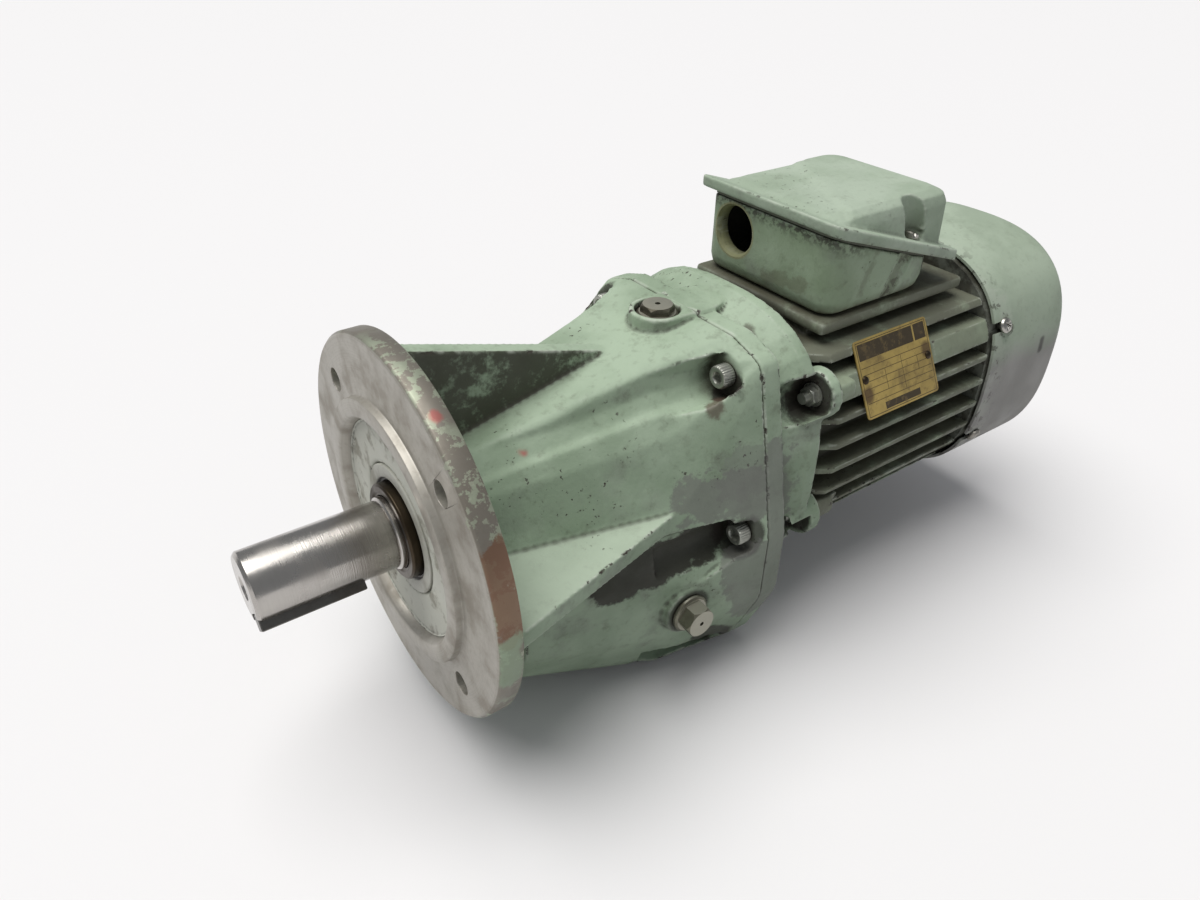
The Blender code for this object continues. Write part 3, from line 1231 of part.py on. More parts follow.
def make_output_gear():
    """Wheel on the output shaft."""
    gear = gear_blank("output_gear", GEAR_LOW_WHEEL_TEETH, GEAR_LOW_MODULE, -pi / 2, LOW_GEAR_FRONT + FIT,
                      LOW_GEAR_WIDTH - 2 * FIT, 1, DARK_STEEL, MAIN_AXIS)
    return cut(gear, bore("output_gear_bore", 0.0, 0.120, OUTPUT_GEAR_SEAT_RADIUS + FIT))


def make_intermediate_shaft():
    """Intermediate shaft with its pinion cut in one piece."""
    front_bearing = INTERMEDIATE_FRONT_BEARING
    rear_bearing = INTERMEDIATE_REAR_BEARING
    wheel_rear = HIGH_GEAR_FRONT + HIGH_GEAR_WIDTH
    profile = [
        (rear_bearing[0] + rear_bearing[3], 0.0),
        (rear_bearing[0] + rear_bearing[3], INTERMEDIATE_JOURNAL_RADIUS),
        (rear_bearing[0] - FIT, INTERMEDIATE_JOURNAL_RADIUS),
        (rear_bearing[0] - FIT, INTERMEDIATE_RADIUS),
        (wheel_rear, INTERMEDIATE_RADIUS),
        (wheel_rear, WHEEL_SEAT_RADIUS),
        (HIGH_GEAR_FRONT, WHEEL_SEAT_RADIUS),
        (HIGH_GEAR_FRONT, WHEEL_SEAT_RADIUS + 0.003),
        (HIGH_GEAR_FRONT - 0.004, WHEEL_SEAT_RADIUS + 0.003),
        (HIGH_GEAR_FRONT - 0.004, INTERMEDIATE_RADIUS),
        (front_bearing[0] + front_bearing[3] + FIT, INTERMEDIATE_RADIUS),
        (front_bearing[0] + front_bearing[3] + FIT, INTERMEDIATE_JOURNAL_RADIUS),
        (front_bearing[0], INTERMEDIATE_JOURNAL_RADIUS),
        (front_bearing[0], 0.0),
    ]
    shaft = turned("intermediate_shaft", profile, DARK_STEEL, LOWER_AXIS, 24)
    half_tooth = pi / GEAR_LOW_PINION_TEETH
    return join(shaft, gear_blank("low_pinion", GEAR_LOW_PINION_TEETH, GEAR_LOW_MODULE, pi / 2 + half_tooth,
                                  LOW_GEAR_FRONT - LOW_PINION_EXTRA, LOW_GEAR_WIDTH + 2 * LOW_PINION_EXTRA, -1,
                                  DARK_STEEL, LOWER_AXIS))


def make_intermediate_gear():
    """Large wheel on the intermediate shaft."""
    gear = gear_blank("intermediate_gear", GEAR_HIGH_WHEEL_TEETH, GEAR_HIGH_MODULE, pi / 2,
                      HIGH_GEAR_FRONT + FIT, HIGH_GEAR_WIDTH - 2 * FIT, 1, DARK_STEEL, LOWER_AXIS)
    return cut(gear, bore("intermediate_gear_bore", 0.0, 0.160, WHEEL_SEAT_RADIUS + FIT, LOWER_AXIS, 24))


def make_motor_shaft():
    """Motor shaft with the first pinion cut on its end."""
    front = HIGH_GEAR_FRONT - HIGH_PINION_EXTRA
    bearing_front = MOTOR_FRONT_BEARING[0]
    bearing_rear = bearing_front + MOTOR_FRONT_BEARING[3]
    tail_front = MOTOR_REAR_BEARING[0]
    profile = [
        (MOTOR_TAIL_END, 0.0),
        (MOTOR_TAIL_END, MOTOR_TAIL_RADIUS),
        (tail_front + MOTOR_REAR_BEARING[3] + FIT, MOTOR_TAIL_RADIUS),
        (tail_front + MOTOR_REAR_BEARING[3] + FIT, MOTOR_REAR_BEARING[1]),
        (tail_front - FIT, MOTOR_REAR_BEARING[1]),
        (tail_front - FIT, MOTOR_SHAFT_RADIUS + 0.0015),
        (bearing_rear + FIT, MOTOR_SHAFT_RADIUS + 0.0015),
        (bearing_rear + FIT, MOTOR_FRONT_BEARING[1]),
        (bearing_front - 0.002, MOTOR_FRONT_BEARING[1]),
        (bearing_front - 0.004, MOTOR_PINION_SHAFT_RADIUS),
        (front + 0.001, MOTOR_PINION_SHAFT_RADIUS - 0.0005),
        (front + 0.001, 0.0),
    ]
    shaft = turned("motor_shaft", profile, BRIGHT_STEEL, MAIN_AXIS, 24)
    half_tooth = pi / GEAR_HIGH_PINION_TEETH
    return join(shaft, gear_blank("high_pinion", GEAR_HIGH_PINION_TEETH, GEAR_HIGH_MODULE, -pi / 2 + half_tooth,
                                  front, HIGH_GEAR_WIDTH + 2 * HIGH_PINION_EXTRA, -1, BRIGHT_STEEL, MAIN_AXIS))


def make_motor_inside():
    """Stator core, windings, rotor core."""
    core_rear = CORE_FRONT + CORE_LENGTH
    turned("stator_core", tube_profile(CORE_FRONT, core_rear, CORE_BORE, FRAME_BORE - FIT), LAMINATION, hollow=True)
    turned("winding_head_front", tube_profile(CORE_FRONT - WINDING_LENGTH, CORE_FRONT - FIT, WINDING_INNER,
                                              WINDING_OUTER), COPPER, hollow=True)
    turned("winding_head_rear", tube_profile(core_rear + FIT, core_rear + WINDING_LENGTH, WINDING_INNER,
                                             WINDING_OUTER), COPPER, hollow=True)
    turned("rotor_core", tube_profile(CORE_FRONT, core_rear, MOTOR_SHAFT_RADIUS + 0.0015 + FIT,
                                      CORE_BORE - ROTOR_GAP), LAMINATION, hollow=True)


def make_brake_end_shield():
    """Rear bearing shield, which is also the brake's friction face."""
    shield = squircle_loft("brake_end_shield", (
        (BRAKE_SHIELD_FRONT, BRAKE_SHIELD_HALF),
        (BRAKE_SHIELD_REAR, BRAKE_SHIELD_HALF)), COVER_POWER, ALUMINIUM)
    join(shield, rod("shield_pilot", BRAKE_SHIELD_FRONT - 0.006, BRAKE_SHIELD_FRONT + 0.002, FRAME_BORE - FIT))
    front, rear, radius = seat_of(MOTOR_REAR_BEARING)
    cut(shield, bore("rear_bearing_seat", front - 0.010, rear, radius))
    cut(shield, turned("shield_relief", tube_profile(BRAKE_SHIELD_FRONT - 0.010, BRAKE_SHIELD_FRONT + SHIELD_RELIEF_DEPTH,
                                                     radius + CASE_WALL, FRAME_BORE - 0.005), CAST_IRON, hollow=True))
    cut(shield, bore("rear_shaft_hole", rear - 0.001, BRAKE_SHIELD_REAR + 0.010, MOTOR_REAR_BEARING[1] + 0.002))
    for index, angle in enumerate(cover_screw_angles()):
        inner = radial(angle, COVER_SCREW_SEAT - COVER_SHELL - COVER_SCREW_LENGTH, COVER_SCREW_STATION)
        cut(shield, peg("cover_screw_thread_%d" % (index + 1), inner, radial(angle, 1.0, 0.0),
                        COVER_SCREW_SHANK_RADIUS + FIT, 0.030, 10))
    return shield


def make_brake():
    """Brake disc on its hub, pressure plate and coil body."""
    rear = DISC_FRONT + DISC_THICKNESS
    disc = [
        (rear + 0.004, DISC_HUB_RADIUS),
        (rear, DISC_HUB_RADIUS),
        (rear, DISC_RADIUS),
        (DISC_FRONT, DISC_RADIUS),
        (DISC_FRONT, MOTOR_TAIL_RADIUS + FIT),
        (rear + 0.004, MOTOR_TAIL_RADIUS + FIT),
    ]
    turned("brake_disc", disc, LINING, hollow=True)
    turned("pressure_plate", tube_profile(PLATE_FRONT, PLATE_REAR, PRESSURE_PLATE_BORE, PRESSURE_PLATE_RADIUS),
           ZINC, hollow=True)
    coil = turned("brake_coil_body", tube_profile(COIL_FRONT, COIL_REAR, COIL_BODY_BORE, COIL_BODY_RADIUS), ZINC, hollow=True)
    for index in range(COIL_POST_COUNT):
        angle = pi / 2 + 2 * pi * index / COIL_POST_COUNT
        start = radial(angle, COIL_POST_CIRCLE, BRAKE_SHIELD_REAR + FIT)
        join(coil, peg("coil_post_%d" % (index + 1), start, (1, 0, 0), COIL_POST_RADIUS,
                       COIL_REAR - 0.001 - BRAKE_SHIELD_REAR - FIT, 12))
        foot = radial(angle, COIL_BODY_RADIUS, COIL_FRONT + 0.001)
        join(coil, peg("coil_lug_%d" % (index + 1), foot, (1, 0, 0), COIL_POST_RADIUS + 0.0015,
                       COIL_BODY_LENGTH - 0.003, 12))


def make_fan():
    """Radial fan with straight blades."""
    rear = FAN_FRONT + FAN_WIDTH
    profile = [
        (rear - 0.001, MOTOR_TAIL_RADIUS + FIT),
        (rear - 0.001, FAN_HUB_RADIUS),
        (FAN_FRONT + FAN_PLATE, FAN_HUB_RADIUS),
        (FAN_FRONT + FAN_PLATE, FAN_RADIUS),
        (FAN_FRONT, FAN_RADIUS),
        (FAN_FRONT, MOTOR_TAIL_RADIUS + FIT),
    ]
    fan = turned("fan", profile, PLASTIC, hollow=True)
    for index in range(FAN_BLADES):
        blade = block("blade_%d" % (index + 1), (FAN_FRONT + 0.001, -FAN_BLADE_THICKNESS / 2, FAN_HUB_RADIUS - 0.002),
                      (rear, FAN_BLADE_THICKNESS / 2, FAN_RADIUS - 0.001))
        blade.matrix_basis = Matrix.Rotation(2 * pi * index / FAN_BLADES, 4, "X") @ blade.matrix_basis
        join(fan, blade)
    return fan


def cover_screw_angles():
    """Angles of the four fan cover screws."""
    return (COVER_SCREW_ANGLE, -COVER_SCREW_ANGLE, pi - COVER_SCREW_ANGLE, pi + COVER_SCREW_ANGLE)


def make_fan_cover():
    """Deep drawn cover over brake and fan, with a slotted end."""
    stations = [
        (COVER_FRONT, COVER_HALF),
        (COVER_END - COVER_EDGE, COVER_HALF - 0.0005),
        (COVER_END - COVER_EDGE * 0.45, COVER_HALF - COVER_EDGE * 0.22),
        (COVER_END - COVER_EDGE * 0.10, COVER_HALF - COVER_EDGE * 0.60),
        (COVER_END, COVER_HALF - COVER_EDGE * 1.15),
    ]
    cover = squircle_loft("fan_cover", stations, COVER_POWER, GREEN_PAINT, closed=False)
    shell = cover.modifiers.new("shell", "SOLIDIFY")
    shell.thickness = COVER_SHELL
    shell.offset = -1.0
    shell.use_even_offset = True
    for ring in range(GRILLE_RINGS):
        inner = GRILLE_INNER + GRILLE_PITCH * ring
        for slot in range(GRILLE_SLOTS):
            start = 2 * pi * (slot + ring % 2 * 0.5) / GRILLE_SLOTS + GRILLE_BRIDGE / 2
            sweep = 2 * pi / GRILLE_SLOTS - GRILLE_BRIDGE
            angles = [start + sweep * step / 3 for step in range(4)]
            outline = [((inner + GRILLE_SLOT) * cos(angle), (inner + GRILLE_SLOT) * sin(angle)) for angle in angles]
            outline += [(inner * cos(angle), inner * sin(angle)) for angle in reversed(angles)]
            matrix = Matrix.Translation((COVER_END, 0.0, 0.0)) @ Matrix.Rotation(pi / 2, 4, "Y")
            cut(cover, slab("grille_%d_%d" % (ring + 1, slot + 1), outline, 0.010, matrix))
    for index, angle in enumerate(cover_screw_angles()):
        inner = radial(angle, COVER_SCREW_SEAT - 0.010, COVER_SCREW_STATION)
        cut(cover, peg("cover_notch_%d" % (index + 1), inner, radial(angle, 1.0, 0.0), 0.0024, 0.020, 10))
    return cover


def make_cover_screws():
    """Round head screws of the fan cover."""
    for index, angle in enumerate(cover_screw_angles()):
        outward = radial(angle, 1.0, 0.0)
        seat = radial(angle, COVER_SCREW_SEAT + FIT, COVER_SCREW_STATION)
        screw = peg("cover_screw_%d" % (index + 1), seat, outward, COVER_SCREW_HEAD_RADIUS, COVER_SCREW_HEAD_HEIGHT,
                    12, tip=COVER_SCREW_HEAD_RADIUS * 0.75)
        screw.data.materials.clear()
        screw.data.materials.append(ZINC)
        join(screw, peg("cover_screw_shank_%d" % (index + 1), seat + outward * 0.001, -outward,
                        COVER_SCREW_SHANK_RADIUS, COVER_SCREW_LENGTH, 8))


def make_seal_and_sleeve():
    """Running sleeve on the shaft and the seal round it."""
    turned("seal_sleeve", tube_profile(SLEEVE_FRONT, OUTPUT_FRONT_BEARING[0] - FIT, SHAFT_BEARING_RADIUS + FIT,
                                       SLEEVE_RADIUS), BRONZE, hollow=True)
    turned("output_seal", tube_profile(SEAL_FRONT, SEAL_FRONT + SEAL_DEPTH, SLEEVE_RADIUS + FIT,
                                       seat_of(OUTPUT_FRONT_BEARING)[2] - FIT), RUBBER, hollow=True)


make_gear_housing()
make_input_cover()
make_stator_frame()
make_studs()
make_rating_plate()
make_terminal_box()
make_terminal_lid()
make_lid_gasket()
make_lid_screws()
make_terminal_board()
make_plug("vent_plug", (VENT_STATION, 0.0, VENT_SEAT), (0, 0, 1), breather=True)
make_plug("level_plug", (LEVEL_STATION, -LEVEL_SEAT, LEVEL_HEIGHT), (0, -1, 0))
make_plug("drain_plug", (DRAIN_STATION, DRAIN_SEAT, DRAIN_HEIGHT), (0, 1, 0), hex_height=0.004)
for number, (screw_side, screw_height) in enumerate(CASE_SCREWS):
    socket_screw("case_screw_%d" % (number + 1), (SCREW_SEAT, screw_side, screw_height), 0.013)
make_output_shaft()
make_shaft_key()
make_seal_and_sleeve()
make_output_gear()
make_intermediate_shaft()
make_intermediate_gear()
make_motor_shaft()
bearing("output_front_bearing", OUTPUT_FRONT_BEARING)
bearing("output_rear_bearing", OUTPUT_REAR_BEARING)
bearing("intermediate_front_bearing", INTERMEDIATE_FRONT_BEARING, LOWER_AXIS)
bearing("intermediate_rear_bearing", INTERMEDIATE_REAR_BEARING, LOWER_AXIS)
bearing("motor_front_bearing", MOTOR_FRONT_BEARING)
bearing("motor_rear_bearing", MOTOR_REAR_BEARING)
make_motor_inside()
make_brake_end_shield()
make_brake()
make_fan()
make_fan_cover()
make_cover_screws()
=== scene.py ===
"""Looks of the brake gear motor: worn sage green castings, bare machined faces and fasteners, in plain soft light.

Sizes are metres. Pieces are built in the frame of the output flange, whose front face centre is the zero point: X runs
along the shaft towards the fan, Y across, Z up. HOME moves that frame to its place over the ground.
"""

import json
from math import cos, pi, radians, sin, tan

import bmesh
import bpy
from mathutils import Matrix, Vector


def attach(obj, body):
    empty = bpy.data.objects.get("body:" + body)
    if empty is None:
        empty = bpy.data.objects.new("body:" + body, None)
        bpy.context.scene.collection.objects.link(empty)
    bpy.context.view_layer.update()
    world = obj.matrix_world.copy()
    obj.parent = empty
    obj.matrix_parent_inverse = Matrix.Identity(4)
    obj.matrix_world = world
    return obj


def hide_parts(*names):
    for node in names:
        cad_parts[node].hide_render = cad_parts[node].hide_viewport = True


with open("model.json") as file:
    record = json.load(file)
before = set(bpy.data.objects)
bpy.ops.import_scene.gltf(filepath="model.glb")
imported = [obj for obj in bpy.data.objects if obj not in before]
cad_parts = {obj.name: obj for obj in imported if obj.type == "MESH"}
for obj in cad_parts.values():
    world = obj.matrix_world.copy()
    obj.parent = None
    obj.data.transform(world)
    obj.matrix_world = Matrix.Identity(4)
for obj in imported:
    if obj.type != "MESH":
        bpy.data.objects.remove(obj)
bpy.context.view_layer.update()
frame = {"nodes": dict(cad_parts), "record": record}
NODES = frame["nodes"]
shift = Matrix.Translation
HOME = shift((-0.148, 0.0, 0.1))

# Camera
IMAGE_WIDTH = 1200
FOCAL_PIXELS = 885.0
SENSOR = 36.0
CAMERA_PLACE = (-0.09349, -0.26582, 0.22254)
CAMERA_RIGHT = (0.81684, -0.57673, 0.01275)
CAMERA_UP = (0.315, 0.46444, 0.82769)
CAMERA_BACK = (-0.48327, -0.67207, 0.56105)

# Light and floor
LAMP_TOWARD = (-0.22, 0.16, 0.96)
LAMP_POWER = 2.95
LAMP_ANGLE = radians(55.0)
LAMP_COLOUR = (1.0, 0.99, 0.97)
SKY_COLOUR = (0.93, 0.96, 1.0, 1.0)
SKY_LEVEL = 0.3
BACKDROP_LEVEL = 0.94
FLOOR_HALF = 30.0
FLOOR_SEEN = (0.8, 0.79, 0.795)
FLOOR_BOUNCE = (0.42, 0.42, 0.42)

# Flange and shaft end
FLANGE_RADIUS = 0.08
FLANGE_THICKNESS = 0.01
SPIGOT_RADIUS = 0.055
SPIGOT_HEIGHT = 0.0035
RECESS_RADIUS = 0.0455
HOLE_RADIUS = 0.005
HOLE_CIRCLE = 0.065
SHAFT_RADIUS = 0.014
SHAFT_LENGTH = 0.06
KEY_WIDTH = 0.008
KEY_DEPTH = 0.004
KEY_LENGTH = 0.04
KEY_ANGLE = radians(50.0)
SLEEVE_RADIUS = 0.02

# Plugs
VENT_PLACE = (0.1265, 0.0, 0.0585)
LEVEL_PLACE = (0.101, -0.0625, -0.05)
DRAIN_PLACE = (0.072, 0.058, -0.07)
PLUG_HEX_RADIUS = 0.0075

# Fasteners
SCREW_SEAT = 0.1315
CASE_SCREWS = ((0.041, 0.048), (-0.041, 0.048), (0.0605, -0.02), (-0.0605, -0.02), (0.046, -0.086), (-0.046, -0.086))
EARS = ((0.0535, 0.0315), (-0.0535, 0.0315), (0.0535, -0.0315), (-0.0535, -0.0315))
EAR_FRONT = 0.16
EAR_SEAT = 0.171
STUD_RADIUS = 0.0025
NUT_RADIUS = 0.0047
NUT_HEIGHT = 0.0033
WASHER_RADIUS = 0.0054
COVER_SCREW_ANGLES = (radians(28.0), radians(-28.0), radians(152.0), radians(208.0))
COVER_SCREW_STATION = 0.2985
COVER_SCREW_SEAT = 0.0675

# Terminal box
BOX_FRONT = 0.1865
BOX_HALF_WIDTH = 0.0405
ENTRY_PLACE = (0.0205, 0.0778)
ENTRY_RADIUS = 0.0112
PARTING_SLOPE = radians(18.0)
PARTING_HEIGHT = 0.0915
LID_SCREW_SEAT = (0.241, 0.0355, 0.0806)
LID_SHOULDER = (0.183, 0.0995)
DIP_START = 0.22
DIP_TOWARD = (-0.8824, 0.4706)
DIP_WIDTH = 0.005
DIP_FADE = 0.004
DIP = 0.0013

# Rating plate
PLATE_SIZE = (0.049, 0.0355)
PLATE_THICKNESS = 0.0008
PLATE_CENTRE = (0.2213, -0.05661, 0.0305)
PLATE_TILT = radians(28.0)
RIVET_INSET = 0.003

# Fan cover
COVER_HALF = 0.0635
COVER_POWER = 2.7
COVER_FRONT = 0.2905
COVER_END = 0.356
COVER_SHELL = 0.0014
COVER_EDGE = 0.01
AIR_SLOT_START = 0.016
AIR_SLOT_PITCH = 0.012
AIR_SLOT_WIDTH = 0.005

# Paints, dirt and painted shade
GREEN_LIGHT = (0.372, 0.466, 0.342)
GREEN_DEEP = (0.262, 0.342, 0.238)
MOTOR_LIGHT = (0.31, 0.375, 0.265)
MOTOR_DEEP = (0.24, 0.275, 0.195)
# Dark grime, also the colour of painted shade in corners and creases.
GRIME_AND_SHADE = (0.085, 0.082, 0.055)
OIL = (0.022, 0.017, 0.013)
# Dark olive for the painted shade on the top web's sides.
OLIVE_SHADE = (0.052, 0.052, 0.034)
# Grey smear colour, also painted shade on faces not turned up.
GREY_FILM_AND_SHADE = (0.185, 0.185, 0.17)
BARE_PALE = (0.52, 0.56, 0.48)
CHIP = (0.045, 0.036, 0.028)
PRIMER = (0.2, 0.105, 0.062)
RED_PENCIL = (0.42, 0.1, 0.09)


def radial(angle, radius, station):
    """Point at an angle about the shaft, from the near side upwards."""
    return Vector((station, -radius * cos(angle), radius * sin(angle)))


class Shader:
    """A material with shorthand for its nodes; coordinates are the object's own."""

    def __init__(self, name):
        self.material = bpy.data.materials.new(name)
        self.material.use_nodes = True
        self.tree = self.material.node_tree
        self.principled = self.tree.nodes["Principled BSDF"]
        self.place = self.node("TexCoord").outputs["Object"]
        self.geometry = self.node("NewGeometry")
        self.noises = {}
        self.colour = None

    def node(self, kind):
        """A new node; the kind is its type's name without ShaderNode."""
        return self.tree.nodes.new("ShaderNode" + kind)

    def feed(self, socket, value):
        """Set an input to a value, a colour or another node's output."""
        if isinstance(value, bpy.types.NodeSocket):
            self.tree.links.new(value, socket)
        elif isinstance(value, tuple) and len(socket.default_value) == 4:
            socket.default_value = (*value, 1.0)
        else:
            socket.default_value = value

    def operate(self, kind, operation, values):
        """A node that works on values or outputs."""
        node = self.node(kind)
        node.operation = operation
        for socket, value in zip(node.inputs, values):
            self.feed(socket, value)
        return node.outputs

    def math(self, operation, *values):
        """Output of a Math node."""
        return self.operate("Math", operation, values)[0]

    def vector(self, operation, *values):
        """Output of a Vector Math node."""
        outputs = self.operate("VectorMath", operation, values)
        return outputs["Value" if operation in ("LENGTH", "DOT_PRODUCT") else "Vector"]

    def ramp(self, source, low, high):
        """From 0 at low to 1 at high, smoothly; low may be the larger."""
        node = self.node("MapRange")
        node.interpolation_type = "SMOOTHSTEP"
        self.feed(node.inputs["Value"], source)
        node.inputs["From Min"].default_value = low
        node.inputs["From Max"].default_value = high
        return node.outputs["Result"]

    def blend(self, share, low, high):
        """Mix two colours."""
        node = self.node("Mix")
        node.data_type = "RGBA"
        for index, value in ((0, share), (6, low), (7, high)):
            self.feed(node.inputs[index], value)
        return node.outputs[2]

    def noise(self, scale, detail=4.0, roughness=0.55):
        """Noise, made once for each setting."""
        key = (scale, detail, roughness)
        if key not in self.noises:
            node = self.node("TexNoise")
            for label, value in zip(("Scale", "Detail", "Roughness"), key):
                node.inputs[label].default_value = value
            self.tree.links.new(self.place, node.inputs["Vector"])
            self.noises[key] = node.outputs["Fac"]
        return self.noises[key]

    def wobble(self, scale, reach):
        """A length that wanders between about minus and plus the reach."""
        return self.math("MULTIPLY", self.math("SUBTRACT", self.noise(scale, 6.0, 0.65), 0.5), reach * 2.0)

    def bump(self, height, strength, distance, normal=None):
        """A bump from a height, on top of another if given."""
        node = self.node("Bump")
        node.inputs["Strength"].default_value = strength
        node.inputs["Distance"].default_value = distance
        self.feed(node.inputs["Height"], height)
        if normal is not None:
            self.feed(node.inputs["Normal"], normal)
        return node.outputs["Normal"]

    def axis(self, letter, source=None):
        """One coordinate of the place, or of another vector."""
        node = self.node("SeparateXYZ")
        self.feed(node.inputs[0], self.place if source is None else source)
        return node.outputs[letter]

    def facing(self, letter):
        """One coordinate of the surface's direction."""
        return self.axis(letter, self.geometry.outputs["Normal"])

    def both(self, *masks):
        """Where all the masks are."""
        result = masks[0]
        for mask in masks[1:]:
            result = self.math("MULTIPLY", result, mask)
        return result

    def shaft_distance(self):
        """Distance from the shaft's axis."""
        return self.vector("LENGTH", self.vector("MULTIPLY", self.place, Vector((0.0, 1.0, 1.0))))

    def capsule(self, start, end, radius, ragged, soft=0.0012):
        """1 near the line from start to end, or near start alone, with a ragged edge."""
        start = Vector(start)
        along = Vector(end) - start if end else Vector()
        offset = self.vector("SUBTRACT", self.place, start)
        if along.length > 1e-6:
            share = self.math("MULTIPLY", self.vector("DOT_PRODUCT", offset, along), 1.0 / along.length_squared)
            share = self.math("MINIMUM", self.math("MAXIMUM", share, 0.0), 1.0)
            offset = self.vector("SUBTRACT", offset, self.vector("MULTIPLY", along, share))
        away = self.vector("LENGTH", offset)
        return self.ramp(self.math("ADD", away, self.wobble(150.0, ragged)), radius + soft, radius - soft)

    def paint(self, mask, over, share=1.0):
        """Lay a colour over the present one where a mask is."""
        amount = mask if share == 1.0 else self.math("MULTIPLY", mask, share)
        self.colour = self.blend(amount, self.colour, over)

    def finish(self, roughness, normal=None, metallic=0.0):
        """Connect what the surface is like, and give the material."""
        looks = {"Base Color": self.colour, "Roughness": roughness, "Normal": normal, "Metallic": metallic}
        for label, value in looks.items():
            if value is not None:
                self.feed(self.principled.inputs[label], value)
        return self.material


# dirt scales the grime and the grey layer, and also the painted shade in corners and creases.
def painted(name, light, deep, dirt=1.0, chips=1.0, texture=0.3, marks=(), regions=()):
    """Old enamel on a casting: blotches, grime, painted shade in corners and creases, a patchy grey layer that is
    partly painted shade on faces not turned up, rubbed edges, chips and local marks.
    """
    made = Shader(name)
    cloud = made.noise(24.0, 5.0)
    made.colour = made.blend(made.ramp(cloud, 0.38, 0.66), light, deep)
    # Patchy grey layer on faces not turned up: partly real grime, partly painted shade on sides and undersides.
    side_film_and_shade = made.both(made.ramp(made.noise(38.0, 6.0, 0.62), 0.5, 0.66), made.ramp(made.facing("Z"), 0.75, 0.0))
    made.paint(side_film_and_shade, GREY_FILM_AND_SHADE, 0.42 * dirt)
    fine = made.ramp(made.noise(260.0, 5.0, 0.6), 0.52, 0.72)
    made.paint(fine, GRIME_AND_SHADE, 0.22 * dirt)
    smears = made.ramp(made.noise(75.0, 7.0, 0.7), 0.56, 0.7)
    made.paint(smears, GRIME_AND_SHADE, 0.35 * dirt)
    for region, over, share in regions:
        made.paint(region(made), over, share)
    # Darker where ambient occlusion finds the surface hemmed in: painted shade in corners and hollows, along with
    # grime.
    hollow = made.node("AmbientOcclusion")
    hollow.samples = 8
    hollow.inputs["Distance"].default_value = 0.012
    shade = made.ramp(hollow.outputs["AO"], 0.8, 0.3)
    streaks = made.ramp(made.noise(95.0, 6.0, 0.65), 0.3, 0.58)
    made.paint(made.both(shade, streaks), GRIME_AND_SHADE, 0.9 * dirt)
    pointed = made.geometry.outputs["Pointiness"]
    # Darker in creases, found from pointiness: painted shade, along with grime.
    crease_shade = made.ramp(pointed, 0.492, 0.465)
    made.paint(crease_shade, tuple(part * 0.5 for part in GRIME_AND_SHADE), 0.75 * dirt)
    edge = made.ramp(pointed, 0.512, 0.545)
    rubbed = made.both(edge, made.ramp(made.noise(110.0, 5.0), 0.4, 0.6))
    made.paint(rubbed, BARE_PALE, 0.6 * chips)
    bare = made.both(edge, made.ramp(made.noise(190.0, 5.0, 0.6), 0.575, 0.61))
    flock = made.ramp(made.noise(22.0, 2.0), 0.56, 0.66)
    spots = made.both(made.ramp(made.noise(520.0, 3.0, 0.5), 0.66, 0.69), flock)
    worn = made.math("MULTIPLY", made.math("MAXIMUM", bare, spots), chips)
    made.paint(worn, CHIP)
    for start, end, radius, ragged, over, share in marks:
        made.paint(made.capsule(start, end, radius, ragged), over, share)
    relief = made.bump(made.noise(480.0, 4.0, 0.55), texture, 0.0006)
    relief = made.bump(made.noise(60.0, 2.0), 0.25, 0.0015, relief)
    relief = made.bump(worn, 0.7, -0.0003, relief)
    made.principled.inputs["Specular IOR Level"].default_value = 0.45
    return made.finish(made.ramp(made.noise(60.0), -0.75, 1.35), relief)


def metal(name, colour, stain, roughness, stain_share=0.4, metallic=1.0, rings=None, regions=()):
    """Bare metal with stains; rings puts lathe marks along the shaft ("X") or round it ("R")."""
    made = Shader(name)
    cloud = made.ramp(made.noise(55.0, 6.0, 0.6), 0.42, 0.7)
    fine = made.math("MULTIPLY", made.ramp(made.noise(420.0, 3.0), 0.48, 0.75), 0.55)
    share = made.math("MULTIPLY", made.math("MAXIMUM", cloud, fine), stain_share)
    made.colour = made.blend(share, colour, stain)
    height = made.noise(900.0, 2.0)
    if rings:
        along = made.axis("X") if rings == "X" else made.shaft_distance()
        wave = made.node("TexNoise")
        wave.noise_dimensions = "1D"
        wave.inputs["Scale"].default_value = 2400.0
        wave.inputs["Detail"].default_value = 3.0
        made.feed(wave.inputs["W"], along)
        height = wave.outputs["Fac"]
        made.paint(made.ramp(height, 0.45, 0.75), stain, 0.2)
    for region, over, amount in regions:
        made.paint(region(made), over, amount)
    relief = made.bump(height, 0.22 if rings else 0.12, 0.0002)
    return made.finish(made.math("ADD", made.math("MULTIPLY", cloud, 0.18), roughness), relief, metallic)


def plain(name, colour, roughness, variation=0.35):
    """A dull material such as rubber or moulding, with slight mottling."""
    made = Shader(name)
    share = made.math("MULTIPLY", made.ramp(made.noise(120.0), 0.35, 0.75), variation)
    dust = tuple(min(1.0, part * 1.6 + 0.02) for part in colour)
    made.colour = made.blend(share, colour, dust)
    return made.finish(roughness, made.bump(made.noise(800.0), 0.15, 0.0003))


def web_side_shade(made):
    """Sides of the top web and the corners at its foot, darkened as painted shade."""
    side = made.math("ABSOLUTE", made.axis("Y"))
    near = made.both(made.ramp(side, 0.015, 0.0085), made.ramp(made.math("ABSOLUTE", made.facing("Y")), 0.35, 0.65))
    above = made.both(made.ramp(made.axis("Z"), 0.03, 0.036), made.ramp(made.axis("X"), 0.1, 0.092))
    return made.both(near, above, made.ramp(made.noise(85.0, 7.0, 0.7), 0.33, 0.5))


def recess_floor(made):
    """Floor of the flange's recess."""
    return made.both(made.ramp(made.axis("X"), 0.0045, 0.003), made.ramp(made.shaft_distance(), 0.05, 0.047))


